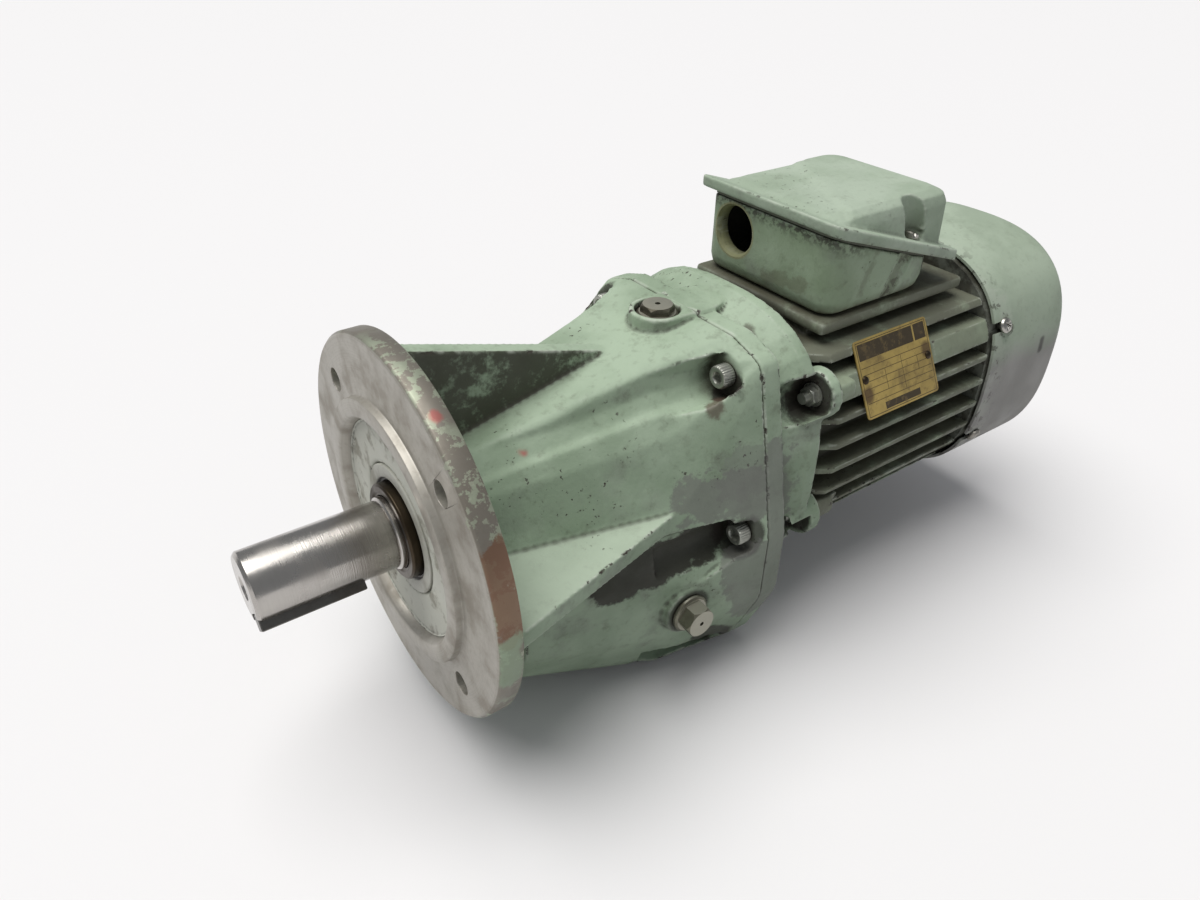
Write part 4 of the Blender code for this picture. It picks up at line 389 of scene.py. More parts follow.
def recess_stains(made):
    """Brown stains on the recess floor."""
    return made.both(recess_floor(made), made.ramp(made.noise(90.0, 6.0, 0.65), 0.5, 0.64))


def web_tops_dust_and_light(made):
    """Upper faces of the side webs, which are paler: partly dust, partly painted light on faces turned up."""
    level = made.both(made.ramp(made.axis("Z"), -0.002, 0.0), made.ramp(made.axis("Z"), 0.0035, 0.0015))
    return made.both(level, made.ramp(made.facing("Z"), 0.8, 0.92))


def cover_floor_sheen(made):
    """Lower part of the fan cover, painted a paler grey: painted reflection and bounce light from the pale floor."""
    return made.ramp(made.math("ADD", made.axis("Z"), made.wobble(30.0, 0.01)), 0.026, 0.006)


def box_inside_shade(made):
    """Inside of the terminal box, painted near black as painted shade."""
    along = made.both(made.ramp(made.axis("X"), 0.1925, 0.1932), made.ramp(made.axis("X"), 0.2625, 0.2618))
    across = made.ramp(made.math("ABSOLUTE", made.axis("Y")), 0.0378, 0.037)
    return made.both(along, across, made.ramp(made.axis("Z"), 0.058, 0.059))


def entry_ring(made):
    """Yellowed ring round the cable entry, and its bore."""
    offset = made.vector("SUBTRACT", made.place, Vector((0.0, *ENTRY_PLACE)))
    away = made.vector("LENGTH", made.vector("MULTIPLY", offset, Vector((0.0, 1.0, 1.0))))
    near = made.ramp(made.math("ADD", away, made.wobble(200.0, 0.0006)), ENTRY_RADIUS + 0.0024, ENTRY_RADIUS + 0.0014)
    return made.both(near, made.ramp(made.axis("X"), 0.195, 0.193))


def under_lid(made):
    """Speckled dirt on the box just under the lid's front edge."""
    height = made.math("ADD", made.axis("Z"), made.math("MULTIPLY", made.axis("X"), tan(PARTING_SLOPE)))
    top = PARTING_HEIGHT + BOX_FRONT * tan(PARTING_SLOPE)
    band = made.both(made.ramp(height, top - 0.007, top - 0.001), made.ramp(made.axis("X"), 0.215, 0.19))
    return made.both(band, made.ramp(made.noise(420.0, 4.0, 0.6), 0.42, 0.56))


def box_foot(made):
    """Brown dirt in the corner between the box and its seat."""
    return made.both(made.ramp(made.axis("Z"), 0.0625, 0.056), made.ramp(made.noise(110.0, 6.0, 0.65), 0.25, 0.6))


def seat_top(made):
    """Top of the terminal box's seat."""
    level = made.both(made.ramp(made.axis("Z"), 0.053, 0.0545), made.ramp(made.facing("Z"), 0.6, 0.9))
    return made.both(level, made.ramp(made.noise(90.0, 6.0, 0.65), 0.25, 0.65))


def fin_root_shade(made):
    """Grooves between the fins, darkened as painted shade."""
    return made.ramp(made.shaft_distance(), 0.06, 0.054)


def fin_darkening(made):
    """Darker ragged patches over the fins, fewer on the smooth bar beside the rating plate."""
    height = made.axis("Z")
    bar = made.both(made.ramp(height, 0.024, 0.026), made.ramp(height, 0.037, 0.035))
    ragged = made.ramp(made.noise(48.0, 7.0, 0.7), 0.3, 0.52)
    return made.both(made.math("SUBTRACT", 1.0, made.math("MULTIPLY", bar, 0.85)), ragged)


def rim(made):
    """Outside of the flange's rim."""
    return made.ramp(made.shaft_distance(), FLANGE_RADIUS - 0.0011, FLANGE_RADIUS - 0.0006)


def rim_paint(made):
    """Paint left on the rim."""
    return made.both(rim(made), made.ramp(made.noise(120.0, 7.0, 0.68), 0.505, 0.535),
                     made.ramp(made.noise(22.0, 3.0), 0.34, 0.5))


def rim_chips(made):
    """Paint left along the chamfer of the rim."""
    band = made.ramp(made.shaft_distance(), FLANGE_RADIUS - 0.0034, FLANGE_RADIUS - 0.001)
    ragged = made.ramp(made.noise(260.0, 6.0, 0.7), 0.585, 0.61)
    return made.both(band, ragged, made.ramp(made.noise(25.0, 2.0), 0.42, 0.56))


def on_rim(angle, spread, radius, ragged):
    """A patch on the rim, centred on an angle above the near side."""
    ends = [radial(radians(turn), FLANGE_RADIUS, FLANGE_THICKNESS / 2) for turn in (angle - spread, angle + spread)]
    return lambda made: made.both(rim(made), made.capsule(*ends, radius, ragged))


def plug_end(made):
    """Rubbed end of a plug's hexagon."""
    return made.math("MAXIMUM", made.ramp(made.facing("Y"), -0.85, -0.95), made.ramp(made.facing("Z"), 0.85, 0.95))


def seal_lip(made):
    """Rubber lip next to the sleeve."""
    return made.ramp(made.shaft_distance(), 0.0219, 0.0214)


CASE_MARKS = (
    ((0.066, -0.052, -0.024), (0.118, -0.053, -0.02), 0.0105, 0.006, OIL, 0.93),
    ((0.066, 0.052, -0.024), (0.118, 0.053, -0.02), 0.0105, 0.006, OIL, 0.93),
    ((0.128, -0.0605, -0.02), None, 0.0115, 0.003, OIL, 0.85),
    ((0.128, 0.0605, -0.02), None, 0.0115, 0.003, OIL, 0.85),
    ((0.1315, -0.044, 0.042), None, 0.0085, 0.003, OIL, 0.9),
    ((0.12, -0.047, 0.039), (0.126, -0.046, 0.04), 0.004, 0.005, (0.1, 0.065, 0.045), 0.75),
    ((0.1315, 0.041, 0.048), None, 0.0095, 0.003, OIL, 0.8),
    ((0.104, -0.064, 0.006), (0.136, -0.07, 0.002), 0.0135, 0.011, GREY_FILM_AND_SHADE, 0.7),
    ((0.126, -0.062, 0.012), (0.134, -0.066, 0.014), 0.012, 0.014, GREY_FILM_AND_SHADE, 0.4),
    ((0.13, -0.069, -0.035), (0.138, -0.069, -0.06), 0.014, 0.009, GREY_FILM_AND_SHADE, 0.65),
    ((0.05, -0.03, 0.026), (0.058, -0.032, 0.026), 0.0016, 0.0026, OIL, 0.8),
    ((0.0436, -0.024, 0.0338), (0.045, -0.024, 0.0325), 0.0011, 0.0012, RED_PENCIL, 0.85),
    ((0.1265, 0.0, 0.058), (0.1265, 0.0, 0.06), 0.0098, 0.0008, OIL, 0.85),
    ((0.101, -0.0615, -0.05), None, 0.0112, 0.0016, OIL, 0.8),
    ((0.118, -0.058, -0.078), (0.128, -0.058, -0.086), 0.0075, 0.004, OIL, 0.85),
)
COVER_MARKS = tuple(
    ((0.158, side * 1.06, height * 1.06), (0.17, side * 1.02, height * 1.02), 0.0094, 0.0035, OIL, 0.9)
    for side, height in EARS
) + (
    ((0.141, -0.07, 0.01), (0.146, -0.069, -0.06), 0.016, 0.01, GREY_FILM_AND_SHADE, 0.7),
    ((0.152, -0.028, 0.058), (0.15, -0.034, 0.054), 0.0022, 0.0035, GRIME_AND_SHADE, 0.8),
)
BOX_MARKS = (
    ((0.238, -0.04, 0.079), (0.226, -0.04, 0.06), 0.003, 0.008, (0.115, 0.12, 0.08), 0.5),
    ((0.214, -0.041, 0.086), (0.206, -0.041, 0.064), 0.0016, 0.007, (0.13, 0.135, 0.09), 0.4),
    ((0.186, -0.025, 0.066), (0.187, -0.002, 0.064), 0.003, 0.007, (0.15, 0.15, 0.095), 0.45),
)
HOOD_MARKS = (
    ((0.3336, -0.0635, 0.01), (0.3336, -0.063, 0.0155), 0.0019, 0.0007, (0.05, 0.048, 0.042), 0.85),
    ((0.3, -0.056, 0.033), (0.303, -0.059, 0.028), 0.003, 0.004, GRIME_AND_SHADE, 0.7),
    ((0.306, -0.047, 0.047), (0.3075, -0.047, 0.047), 0.001, 0.002, OIL, 0.8),
)

CASE_PAINT = painted("case_paint", GREEN_LIGHT, GREEN_DEEP, marks=CASE_MARKS, regions=(
    (web_side_shade, OLIVE_SHADE, 0.93), (web_tops_dust_and_light, (0.44, 0.51, 0.41), 0.55),
    (recess_floor, (0.62, 0.62, 0.55), 0.94), (recess_stains, (0.22, 0.2, 0.15), 0.7)))
COVER_PAINT = painted("cover_paint", GREEN_LIGHT, GREEN_DEEP, marks=COVER_MARKS)
MOTOR_PAINT = painted("motor_paint", MOTOR_LIGHT, MOTOR_DEEP, 1.0, 0.9, regions=(
    (fin_darkening, (0.135, 0.137, 0.1), 0.85), (fin_root_shade, (0.05, 0.05, 0.034), 0.85),
    (seat_top, (0.085, 0.08, 0.05), 0.8)))
# Near black shield: painted shade for the shadowed gap between the fins' ends and the fan cover.
SHIELD_SHADE = painted("shield_shade", (0.06, 0.062, 0.048), (0.035, 0.035, 0.027), 1.0, 0.4)
BOX_PAINT = painted("box_paint", (0.35, 0.44, 0.31), (0.255, 0.33, 0.215), 0.85, 0.7, 0.35, regions=(
    (box_foot, (0.075, 0.062, 0.032), 0.8), (under_lid, (0.04, 0.034, 0.026), 0.85),
    (entry_ring, (0.26, 0.25, 0.12), 0.8), (box_inside_shade, (0.02, 0.018, 0.015), 0.97)), marks=BOX_MARKS)
LID_PAINT = painted("lid_paint", (0.4, 0.475, 0.375), (0.315, 0.39, 0.29), 0.6, 0.75, 0.45)
HOOD_PAINT = painted("hood_paint", (0.385, 0.46, 0.355), (0.305, 0.372, 0.28), 0.55, 0.6, 0.12, marks=HOOD_MARKS,
                     regions=((cover_floor_sheen, (0.315, 0.3, 0.292), 0.92),))
MACHINED = metal("machined_face", (0.42, 0.4, 0.355), (0.22, 0.19, 0.15), 0.42, 0.6, 0.55, "R", regions=(
    (rim, (0.175, 0.155, 0.125), 0.75), (rim_paint, (0.36, 0.4, 0.3), 0.88), (rim_chips, (0.4, 0.43, 0.33), 0.75),
    (on_rim(15.0, 9.0, 0.0066, 0.01), PRIMER, 0.85), (on_rim(62.0, 0.5, 0.0014, 0.0026), RED_PENCIL, 0.7),
    (on_rim(-5.0, 6.0, 0.005, 0.006), GREEN_DEEP, 0.75)))
SEAL_CAP = metal("seal_cap", (0.5, 0.5, 0.44), (0.22, 0.2, 0.15), 0.5, 0.6, 0.0,
                 regions=((seal_lip, (0.03, 0.026, 0.022), 0.95),))
GROUND = metal("ground_shaft", (0.47, 0.45, 0.425), (0.25, 0.22, 0.19), 0.2, 0.16, 1.0, "X")
DARK_STEEL = metal("dark_steel", (0.15, 0.145, 0.135), (0.065, 0.055, 0.045), 0.34, 0.6)
SCREW_STEEL = metal("screw_steel", (0.36, 0.37, 0.33), (0.13, 0.115, 0.09), 0.32, 0.55, 0.75)
PLUG_STEEL = metal("plug_steel", (0.185, 0.18, 0.135), (0.06, 0.048, 0.034), 0.38, 0.75, 0.7,
                   regions=((plug_end, (0.42, 0.41, 0.34), 0.75),))
ZINC = metal("zinc_plated", (0.42, 0.41, 0.38), (0.14, 0.12, 0.09), 0.28, 0.6)
BRONZE = metal("bronze", (0.06, 0.046, 0.031), (0.025, 0.018, 0.012), 0.34, 0.6, 1.0, "X")
COPPER = metal("winding", (0.42, 0.16, 0.07), (0.16, 0.06, 0.03), 0.45)
CORE = metal("lamination", (0.22, 0.22, 0.23), (0.1, 0.09, 0.08), 0.45)
CAST_ALUMINIUM = metal("cast_aluminium", (0.46, 0.46, 0.45), (0.22, 0.21, 0.19), 0.48)
RUBBER = plain("black_rubber", (0.022, 0.022, 0.021), 0.72)
GASKET = plain("old_gasket", (0.11, 0.115, 0.09), 0.85)
MOULDING = plain("brown_moulding", (0.07, 0.04, 0.026), 0.5)
LINING = plain("brake_lining", (0.05, 0.045, 0.04), 0.85)
PLASTIC = plain("black_plastic", (0.014, 0.014, 0.014), 0.45)


def brass_plate():
    """Yellowed plate with dark bands and a ruled grid, in the plate's own coordinates."""
    made = Shader("brass_plate")
    across, up = made.axis("X"), made.axis("Y")
    made.colour = made.blend(made.ramp(made.noise(90.0, 5.0), 0.35, 0.7), (0.56, 0.41, 0.125), (0.4, 0.29, 0.095))
    dark = (0.07, 0.052, 0.028)

    def within(value, low, high):
        return made.both(made.math("GREATER_THAN", value, low), made.math("LESS_THAN", value, high))

    def box(left, right, low, high):
        return made.both(within(across, left, right), within(up, low, high))

    made.paint(box(-0.0226, 0.014, 0.0085, 0.016), dark)
    made.paint(box(0.015, 0.0226, 0.0085, 0.016), dark)
    made.paint(box(-0.012, 0.012, -0.016, -0.0128), dark)
    grid = made.math("SUBTRACT", box(-0.0235, 0.0235, -0.0169, 0.0169), box(-0.0231, 0.0231, -0.0165, 0.0165))
    for row in (0.0052, 0.002, -0.0012, -0.0044, -0.0076, -0.0108):
        grid = made.math("MAXIMUM", grid, box(-0.0226, 0.0226, row - 0.00017, row + 0.00017))
    for column, low, high in ((-0.008, -0.0076, 0.002), (0.0035, -0.0108, 0.0052), (0.014, -0.0044, 0.002)):
        grid = made.math("MAXIMUM", grid, box(column - 0.00017, column + 0.00017, low, high))
    made.paint(grid, dark, 0.85)
    wear = made.ramp(made.noise(240.0, 6.0, 0.7), 0.52, 0.64)
    made.paint(wear, (0.25, 0.18, 0.075), 0.5)
    grime = made.ramp(made.noise(60.0, 5.0, 0.6), 0.5, 0.72)
    made.paint(grime, (0.13, 0.095, 0.05), 0.5)
    rust = made.math("MAXIMUM", made.capsule((-0.0215, -0.0075, 0.0), (-0.0215, -0.006, 0.0), 0.003, 0.0022),
                     made.capsule((0.021, 0.002, 0.0), (0.021, 0.004, 0.0), 0.003, 0.0022))
    made.paint(rust, (0.09, 0.05, 0.028), 0.8)
    relief = made.bump(made.noise(300.0, 3.0), 0.15, 0.0003)
    return made.finish(made.math("ADD", made.math("MULTIPLY", wear, 0.15), 0.42), relief, 0.45)


BRASS_PLATE = brass_plate()
SLOT_MATERIALS = {
    "case_paint": CASE_PAINT, "motor_paint": MOTOR_PAINT, "cover_paint": HOOD_PAINT, "bright_steel": GROUND,
    "dark_steel": DARK_STEEL, "zinc": ZINC, "bronze": BRONZE, "winding": COPPER, "lamination": CORE,
    "aluminium": CAST_ALUMINIUM, "rubber": RUBBER, "moulding": MOULDING, "lining": LINING, "plastic": PLASTIC,
    "plate_brass": BRONZE,
}
NODE_SLOTS = {part["node"]: part["material_slot"] for part in frame["record"]["subparts"]}
for node_name, node in NODES.items():
    node.data.materials.clear()
    node.data.materials.append(SLOT_MATERIALS[NODE_SLOTS[node_name]])
NODES["lid_gasket"].data.materials[0] = GASKET
NODES["brake_end_shield"].data.materials[0] = SHIELD_SHADE


def bare_mesh(name, build, angle=30.0):
    """A mesh from a function that fills a bmesh."""
    work = bmesh.new()
    build(work)
    bmesh.ops.remove_doubles(work, verts=work.verts, dist=1e-6)
    bmesh.ops.recalc_face_normals(work, faces=work.faces)
    mesh = bpy.data.meshes.new(name)
    work.to_mesh(mesh)
    work.free()
    mesh.shade_smooth()
    mesh.set_sharp_from_angle(angle=radians(angle))
    return mesh


def placed(name, data):
    """A new object in the scene."""
    thing = bpy.data.objects.new(name, data)
    bpy.context.scene.collection.objects.link(thing)
    return thing


def loose(name, mesh, matrix=None):
    """An object in the flange's frame that isn't yet a piece; a matrix is worked into the mesh."""
    if matrix is not None:
        mesh.transform(matrix)
    thing = placed(name, mesh)
    thing.matrix_world = HOME
    return thing


def revolve(work, profile, segments, closed):
    """Turn (station, radius) points about X."""
    rings = []
    for along, radius in profile:
        if radius < 1e-6:
            rings.append([work.verts.new((along, 0.0, 0.0))])
            continue
        rings.append([work.verts.new(radial(2 * pi * step / segments, radius, along)) for step in range(segments)])
    pairs = list(zip(rings, rings[1:])) + ([(rings[-1], rings[0])] if closed else [])
    for front, rear in pairs:
        for step in range(segments):
            after = (step + 1) % segments
            corners = [front[step % len(front)], front[after % len(front)], rear[after % len(rear)],
                       rear[step % len(rear)]]
            unique = list(dict.fromkeys(corners))
            if len(unique) > 2:
                work.faces.new(unique)


def loft(work, rings, *caps):
    """Join rings of equal length with faces, and close some of them."""
    for first, second in zip(rings, rings[1:]):
        for step in range(len(first)):
            after = (step + 1) % len(first)
            work.faces.new((first[step], first[after], second[after], second[step]))
    for ring in caps:
        work.faces.new(ring)


def turned(name, profile, segments=96, closed=False, matrix=None):
    """A turned object."""
    return loose(name, bare_mesh(name, lambda work: revolve(work, profile, segments, closed)), matrix)


def aim(direction, axis="X"):
    """Rotation that takes an axis to a direction."""
    start = Vector((1.0, 0.0, 0.0)) if axis == "X" else Vector((0.0, 0.0, 1.0))
    return start.rotation_difference(Vector(direction)).to_matrix().to_4x4()


def peg(name, start, direction, radius, length, segments=32, tip=None):
    """A cylinder or cone from a point along a direction."""
    def build(work):
        bmesh.ops.create_cone(
            work, cap_ends=True, segments=segments, radius1=radius, radius2=radius if tip is None else tip,
            depth=length, matrix=shift((0.0, 0.0, length / 2)))
    return loose(name, bare_mesh(name, build), shift(start) @ aim(direction, "Z"))


def block(name, low, high, matrix=None):
    """A box between two corners."""
    size = [b - a for a, b in zip(low, high)]
    middle = [(a + b) / 2 for a, b in zip(low, high)]

    def build(work):
        bmesh.ops.create_cube(work, size=1.0)
        bmesh.ops.scale(work, vec=size, verts=work.verts)
        bmesh.ops.translate(work, vec=middle, verts=work.verts)
    return loose(name, bare_mesh(name, build), matrix)


def settle(target):
    """Apply an object's modifiers to its mesh."""
    bpy.context.view_layer.update()
    source = target.evaluated_get(bpy.context.evaluated_depsgraph_get())
    mesh = bpy.data.meshes.new_from_object(source)
    target.modifiers.clear()
    target.data = mesh
    return target


def carve(target, tools, operation="DIFFERENCE", solver="EXACT"):
    """Cut tools away from an object, or join them to it, and remove them."""
    group = bpy.data.collections.new(target.name + "_tools")
    for tool in tools:
        group.objects.link(tool)
    change = target.modifiers.new("carve", "BOOLEAN")
    change.operand_type = "COLLECTION"
    change.collection = group
    change.operation = operation
    change.solver = solver
    settle(target)
    for tool in tools:
        bpy.data.objects.remove(tool, do_unlink=True)
    bpy.data.collections.remove(group)
    return target


def soften(target, width, segments=3, angle=30.0):
    """Round off the edges."""
    edge = target.modifiers.new("edges", "BEVEL")
    edge.width = width
    edge.segments = segments
    edge.limit_method = "ANGLE"
    edge.angle_limit = radians(angle)
    edge.harden_normals = True
    return target


def finish(target, material, body, slot, *nodes):
    """Give a piece its material, its body and the CAD nodes it stands for."""
    target.data.materials.clear()
    target.data.materials.append(material)
    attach(target, body)
    if nodes:
        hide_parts(*nodes)
    return target


def casting(name, node, voxel, rounds, keep, additions=(), cuts=()):
    """A CAD casting with its edges and corners rounded as a foundry leaves them, and crisp machined cuts."""
    mesh = NODES[node].data.copy()
    mesh.transform(HOME.inverted())
    piece = loose(name, mesh)
    if additions:
        carve(piece, list(additions), "UNION")
    skin = piece.modifiers.new("skin", "REMESH")
    skin.mode = "VOXEL"
    skin.voxel_size = voxel
    soft = piece.modifiers.new("soft", "SMOOTH")
    soft.factor = 0.5
    soft.iterations = rounds
    settle(piece)
    if cuts:
        carve(piece, list(cuts), solver="MANIFOLD")
    thin = piece.modifiers.new("thin", "DECIMATE")
    thin.ratio = keep
    settle(piece)
    piece.data.shade_smooth()
    piece.data.set_sharp_from_angle(angle=radians(50.0))
    return piece


def flange_holes(radius, station, depth):
    """Cutters for the flange's four holes."""
    return [peg("hole_%d" % index, radial(pi / 4 + index * pi / 2, HOLE_CIRCLE, station), (1, 0, 0), radius, depth, 48)
            for index in range(4)]


def gear_case():
    """Gear case with the flange's disc cut away for its machined face."""
    face = turned("face_room", [
        (-0.01, RECESS_RADIUS - 0.0001), (-0.01, 0.09), (0.0112, 0.09), (0.0112, FLANGE_RADIUS - 0.0038),
        (0.0042, FLANGE_RADIUS - 0.0038), (0.0042, RECESS_RADIUS - 0.0001)], 160, closed=True)
    holes = flange_holes(HOLE_RADIUS + 0.0001, 0.002, 0.0105)
    recess = turned("vent_room", [
        (0.0, 0.0), (0.0, 0.0099), (0.0034, 0.0099), (0.0048, 0.0113), (0.01, 0.0113), (0.01, 0.0)], 64,
        matrix=shift(VENT_PLACE) @ aim((0, 0, 1)))
    case = casting("gear_case", "gear_housing", 0.0009, 4, 0.5, cuts=[face, recess] + holes)
    finish(case, CASE_PAINT, "housing", "case_paint", "gear_housing")


def gear_cover():
    """Cover and motor shield, with the end of the vent's pad and spot faces for the nuts."""
    pad_end = peg("pad_end", (0.1475, 0.0, 0.05), (0, 0, 1), 0.0125, 0.0123, 40)
    faces = [peg("spot_%d" % index, (EAR_FRONT, side, height), (1, 0, 0), 0.0062, EAR_SEAT - EAR_FRONT, 40)
             for index, (side, height) in enumerate(EARS)]
    cover = casting("gear_cover", "input_cover", 0.0009, 3, 0.5, [pad_end], faces)
    finish(cover, COVER_PAINT, "housing", "case_paint", "input_cover")


def motor_frame():
    """Finned frame."""
    body = casting("motor_frame", "stator_frame", 0.0007, 2, 0.45)
    finish(body, MOTOR_PAINT, "housing", "motor_paint", "stator_frame")


def connection_box():
    """Terminal box with its cable entry and a flute down each long side."""
    entry = turned("entry_room", [
        (-0.01, 0.0), (-0.01, ENTRY_RADIUS + 0.001), (0.0003, ENTRY_RADIUS + 0.001), (0.0013, ENTRY_RADIUS),
        (0.015, ENTRY_RADIUS), (0.015, 0.0)], 96, matrix=shift((BOX_FRONT, *ENTRY_PLACE)))
    flutes = []
    for across in (-1, 1):
        start = (0.2385, across * (BOX_HALF_WIDTH + 0.009 - 0.0016), 0.086)
        flutes.append(peg("flute_%d" % across, start, (-0.42, 0, -0.91), 0.009, 0.04, 64))
    box = casting("connection_box", "terminal_box", 0.0007, 3, 0.5, cuts=[entry] + flutes)
    finish(box, BOX_PAINT, "housing", "case_paint", "terminal_box")


def box_lid():
    """Lid whose block drops a little towards its front corner."""
    lid = casting("box_lid", "terminal_box_lid", 0.0007, 5, 0.5)
    for vertex in lid.data.vertices:
        place = vertex.co
        slope = LID_SHOULDER[1] - (place.x - LID_SHOULDER[0]) * tan(PARTING_SLOPE)
        ahead = (place.x - DIP_START) * DIP_TOWARD[0] + place.y * DIP_TOWARD[1]
        share = max(0.0, min(1.0, ahead / DIP_WIDTH))
        share = share * share * (3 - 2 * share)
        rise = max(0.0, min(1.0, (place.z - slope) / DIP_FADE))
        vertex.co.z -= DIP * share * rise
    finish(lid, LID_PAINT, "housing", "case_paint", "terminal_box_lid")


def flange_plate():
    """Machined front of the flange: disc, rim and register."""
    profile = [
        (0.0013, RECESS_RADIUS - 0.0002), (-SPIGOT_HEIGHT + 0.0007, RECESS_RADIUS + 0.0018),
        (-SPIGOT_HEIGHT + 0.0002, RECESS_RADIUS + 0.0024), (-SPIGOT_HEIGHT, RECESS_RADIUS + 0.0031),
        (-SPIGOT_HEIGHT, SPIGOT_RADIUS - 0.0009), (-SPIGOT_HEIGHT + 0.0003, SPIGOT_RADIUS - 0.0003),
        (-SPIGOT_HEIGHT + 0.0009, SPIGOT_RADIUS), (-0.0012, SPIGOT_RADIUS), (-0.0004, SPIGOT_RADIUS + 0.0003),
        (0.0, SPIGOT_RADIUS + 0.001), (0.0, FLANGE_RADIUS - 0.0015), (0.0003, FLANGE_RADIUS - 0.001),
        (0.0012, FLANGE_RADIUS - 0.0002), (0.0018, FLANGE_RADIUS), (FLANGE_THICKNESS - 0.0008, FLANGE_RADIUS),
        (FLANGE_THICKNESS - 0.0002, FLANGE_RADIUS - 0.0003), (FLANGE_THICKNESS, FLANGE_RADIUS - 0.001),
        (FLANGE_THICKNESS, FLANGE_RADIUS - 0.0039), (0.0041, FLANGE_RADIUS - 0.0039),
        (0.0041, RECESS_RADIUS - 0.0002),
    ]
    plate = turned("flange_plate", profile, 160, closed=True)
    carve(plate, flange_holes(HOLE_RADIUS, -0.01, 0.03))
    finish(soften(plate, 0.0003, 2, 50.0), MACHINED, "housing", "case_paint")


def shaft_end():
    """Output shaft with its ground end, collar, centre hole and key slot."""
    profile = [
        (0.108, 0.0), (0.108, 0.0125), (0.016, 0.0125), (0.016, 0.015), (-0.0045, 0.015), (-0.0049, 0.0146),
        (-0.0052, 0.0139), (-0.0056, SHAFT_RADIUS), (-SHAFT_LENGTH + 0.0013, SHAFT_RADIUS),
        (-SHAFT_LENGTH + 0.0003, SHAFT_RADIUS - 0.001), (-SHAFT_LENGTH, SHAFT_RADIUS - 0.0014),
        (-SHAFT_LENGTH, 0.005), (-SHAFT_LENGTH + 0.0025, 0.0035), (-SHAFT_LENGTH + 0.0035, 0.0027),
        (-SHAFT_LENGTH + 0.014, 0.0026), (-SHAFT_LENGTH + 0.015, 0.0),
    ]
    shaft = turned("shaft_end", profile, 128)
    slot = block("slot", (-SHAFT_LENGTH - 0.002, -KEY_WIDTH / 2 - 0.0002, SHAFT_RADIUS - KEY_DEPTH - 0.0003),
                 (-SHAFT_LENGTH + KEY_LENGTH + 0.0006, KEY_WIDTH / 2 + 0.0002, 0.03),
                 aim(radial(-KEY_ANGLE, 1.0, 0.0), "Z"))
    carve(shaft, [slot])
    finish(soften(shaft, 0.0002, 2, 50.0), GROUND, "output", "bright_steel", "output_shaft")
    soften(NODES["shaft_key"], 0.0005, 3)


def sleeve_and_seal():
    """Running sleeve, and the seal's cap round it."""
    sleeve = turned("running_sleeve", [
        (0.0106, 0.0153), (0.0106, SLEEVE_RADIUS), (-0.0022, SLEEVE_RADIUS), (-0.003, SLEEVE_RADIUS - 0.0008),
        (-0.003, 0.017), (-0.0024, 0.0162), (-0.0024, 0.0153)], 96, closed=True)
    finish(soften(sleeve, 0.0002, 2), BRONZE, "output", "bronze", "seal_sleeve")
    seal = turned("seal_cap", [
        (0.009, 0.0203), (0.009, 0.0272), (0.0009, 0.0272), (0.0006, 0.0269), (0.0006, 0.0222), (0.0009, 0.0216),
        (0.0018, 0.021), (0.0018, 0.0203)], 96, closed=True)
    finish(seal, SEAL_CAP, "housing", "rubber", "output_seal")


def case_screws():
    """Six socket head screws that hold the cover to the case."""
    radius, height, socket, knurls = 0.005, 0.006, 0.0029, 30

    def build(work):
        levels = ((0.0, 0.92), (-0.0004, 1.0), (-height + 0.0009, 1.0), (-height + 0.0002, 0.93), (-height, 0.86))
        rings = []
        for level, share in levels:
            ring = []
            for step in range(knurls * 2):
                angle = pi * step / knurls
                reach = radius * share * (1.0 if step % 2 or share < 0.9 else 0.965)
                ring.append(work.verts.new((level, reach * cos(angle), reach * sin(angle))))
            rings.append(ring)
        loft(work, rings, rings[0], rings[-1])
    for index, (side, level) in enumerate(CASE_SCREWS):
        name = "socket_screw_%d" % (index + 1)
        screw = loose(name, bare_mesh(name, build, 25.0))
        carve(screw, [peg("stem", (-0.001, 0, 0), (1, 0, 0), 0.003, 0.014, 24)], "UNION")
        carve(screw, [peg("socket", (-height - 0.001, 0, 0), (1, 0, 0), socket, height * 0.55 + 0.001, 6),
                      peg("mouth", (-height - 0.0001, 0, 0), (1, 0, 0), socket * 1.08, 0.0005, 24, socket * 0.84)])
        screw.data.transform(
            shift((SCREW_SEAT - 0.0003, side, level)) @ Matrix.Rotation(index * 0.7, 4, "X"))
        finish(screw, SCREW_STEEL, "housing", "zinc", "case_screw_%d" % (index + 1))


def hexagon(name, radius, height, matrix):
    """A hexagon along +X from zero, its outer corners turned off."""
    nut = peg(name, (0, 0, 0), (1, 0, 0), radius, height, 6)
    cone = turned("cone", [(-0.001, 0.0), (-0.001, radius * 1.3), (height - radius * 0.3, radius * 1.12),
                           (height + 0.00001, radius * 0.86), (height + 0.001, 0.0)], 48)
    carve(nut, [cone], "INTERSECT")
    nut.data.transform(matrix)
    return nut


def stud_nuts():
    """Studs with hexagon nuts and washers on the shield's ears."""
    for index, (side, height) in enumerate(EARS):
        name = "ear_stud_%d" % (index + 1)
        stud = peg(name, (EAR_SEAT - 0.0073, side, height), (1, 0, 0), STUD_RADIUS, 0.023, 32)
        back = shift((EAR_SEAT - 0.001, side, height)) @ aim((-1, 0, 0)) @ Matrix.Rotation(
            0.4 + index, 4, "X")
        washer = peg("washer", (EAR_SEAT - 0.0011, side, height), (1, 0, 0), WASHER_RADIUS, 0.0008, 40)
        carve(stud, [hexagon("nut", NUT_RADIUS, NUT_HEIGHT, back), washer], "UNION")
        finish(soften(stud, 0.00015, 2), SCREW_STEEL, "housing", "zinc", "shield_stud_%d" % (index + 1))


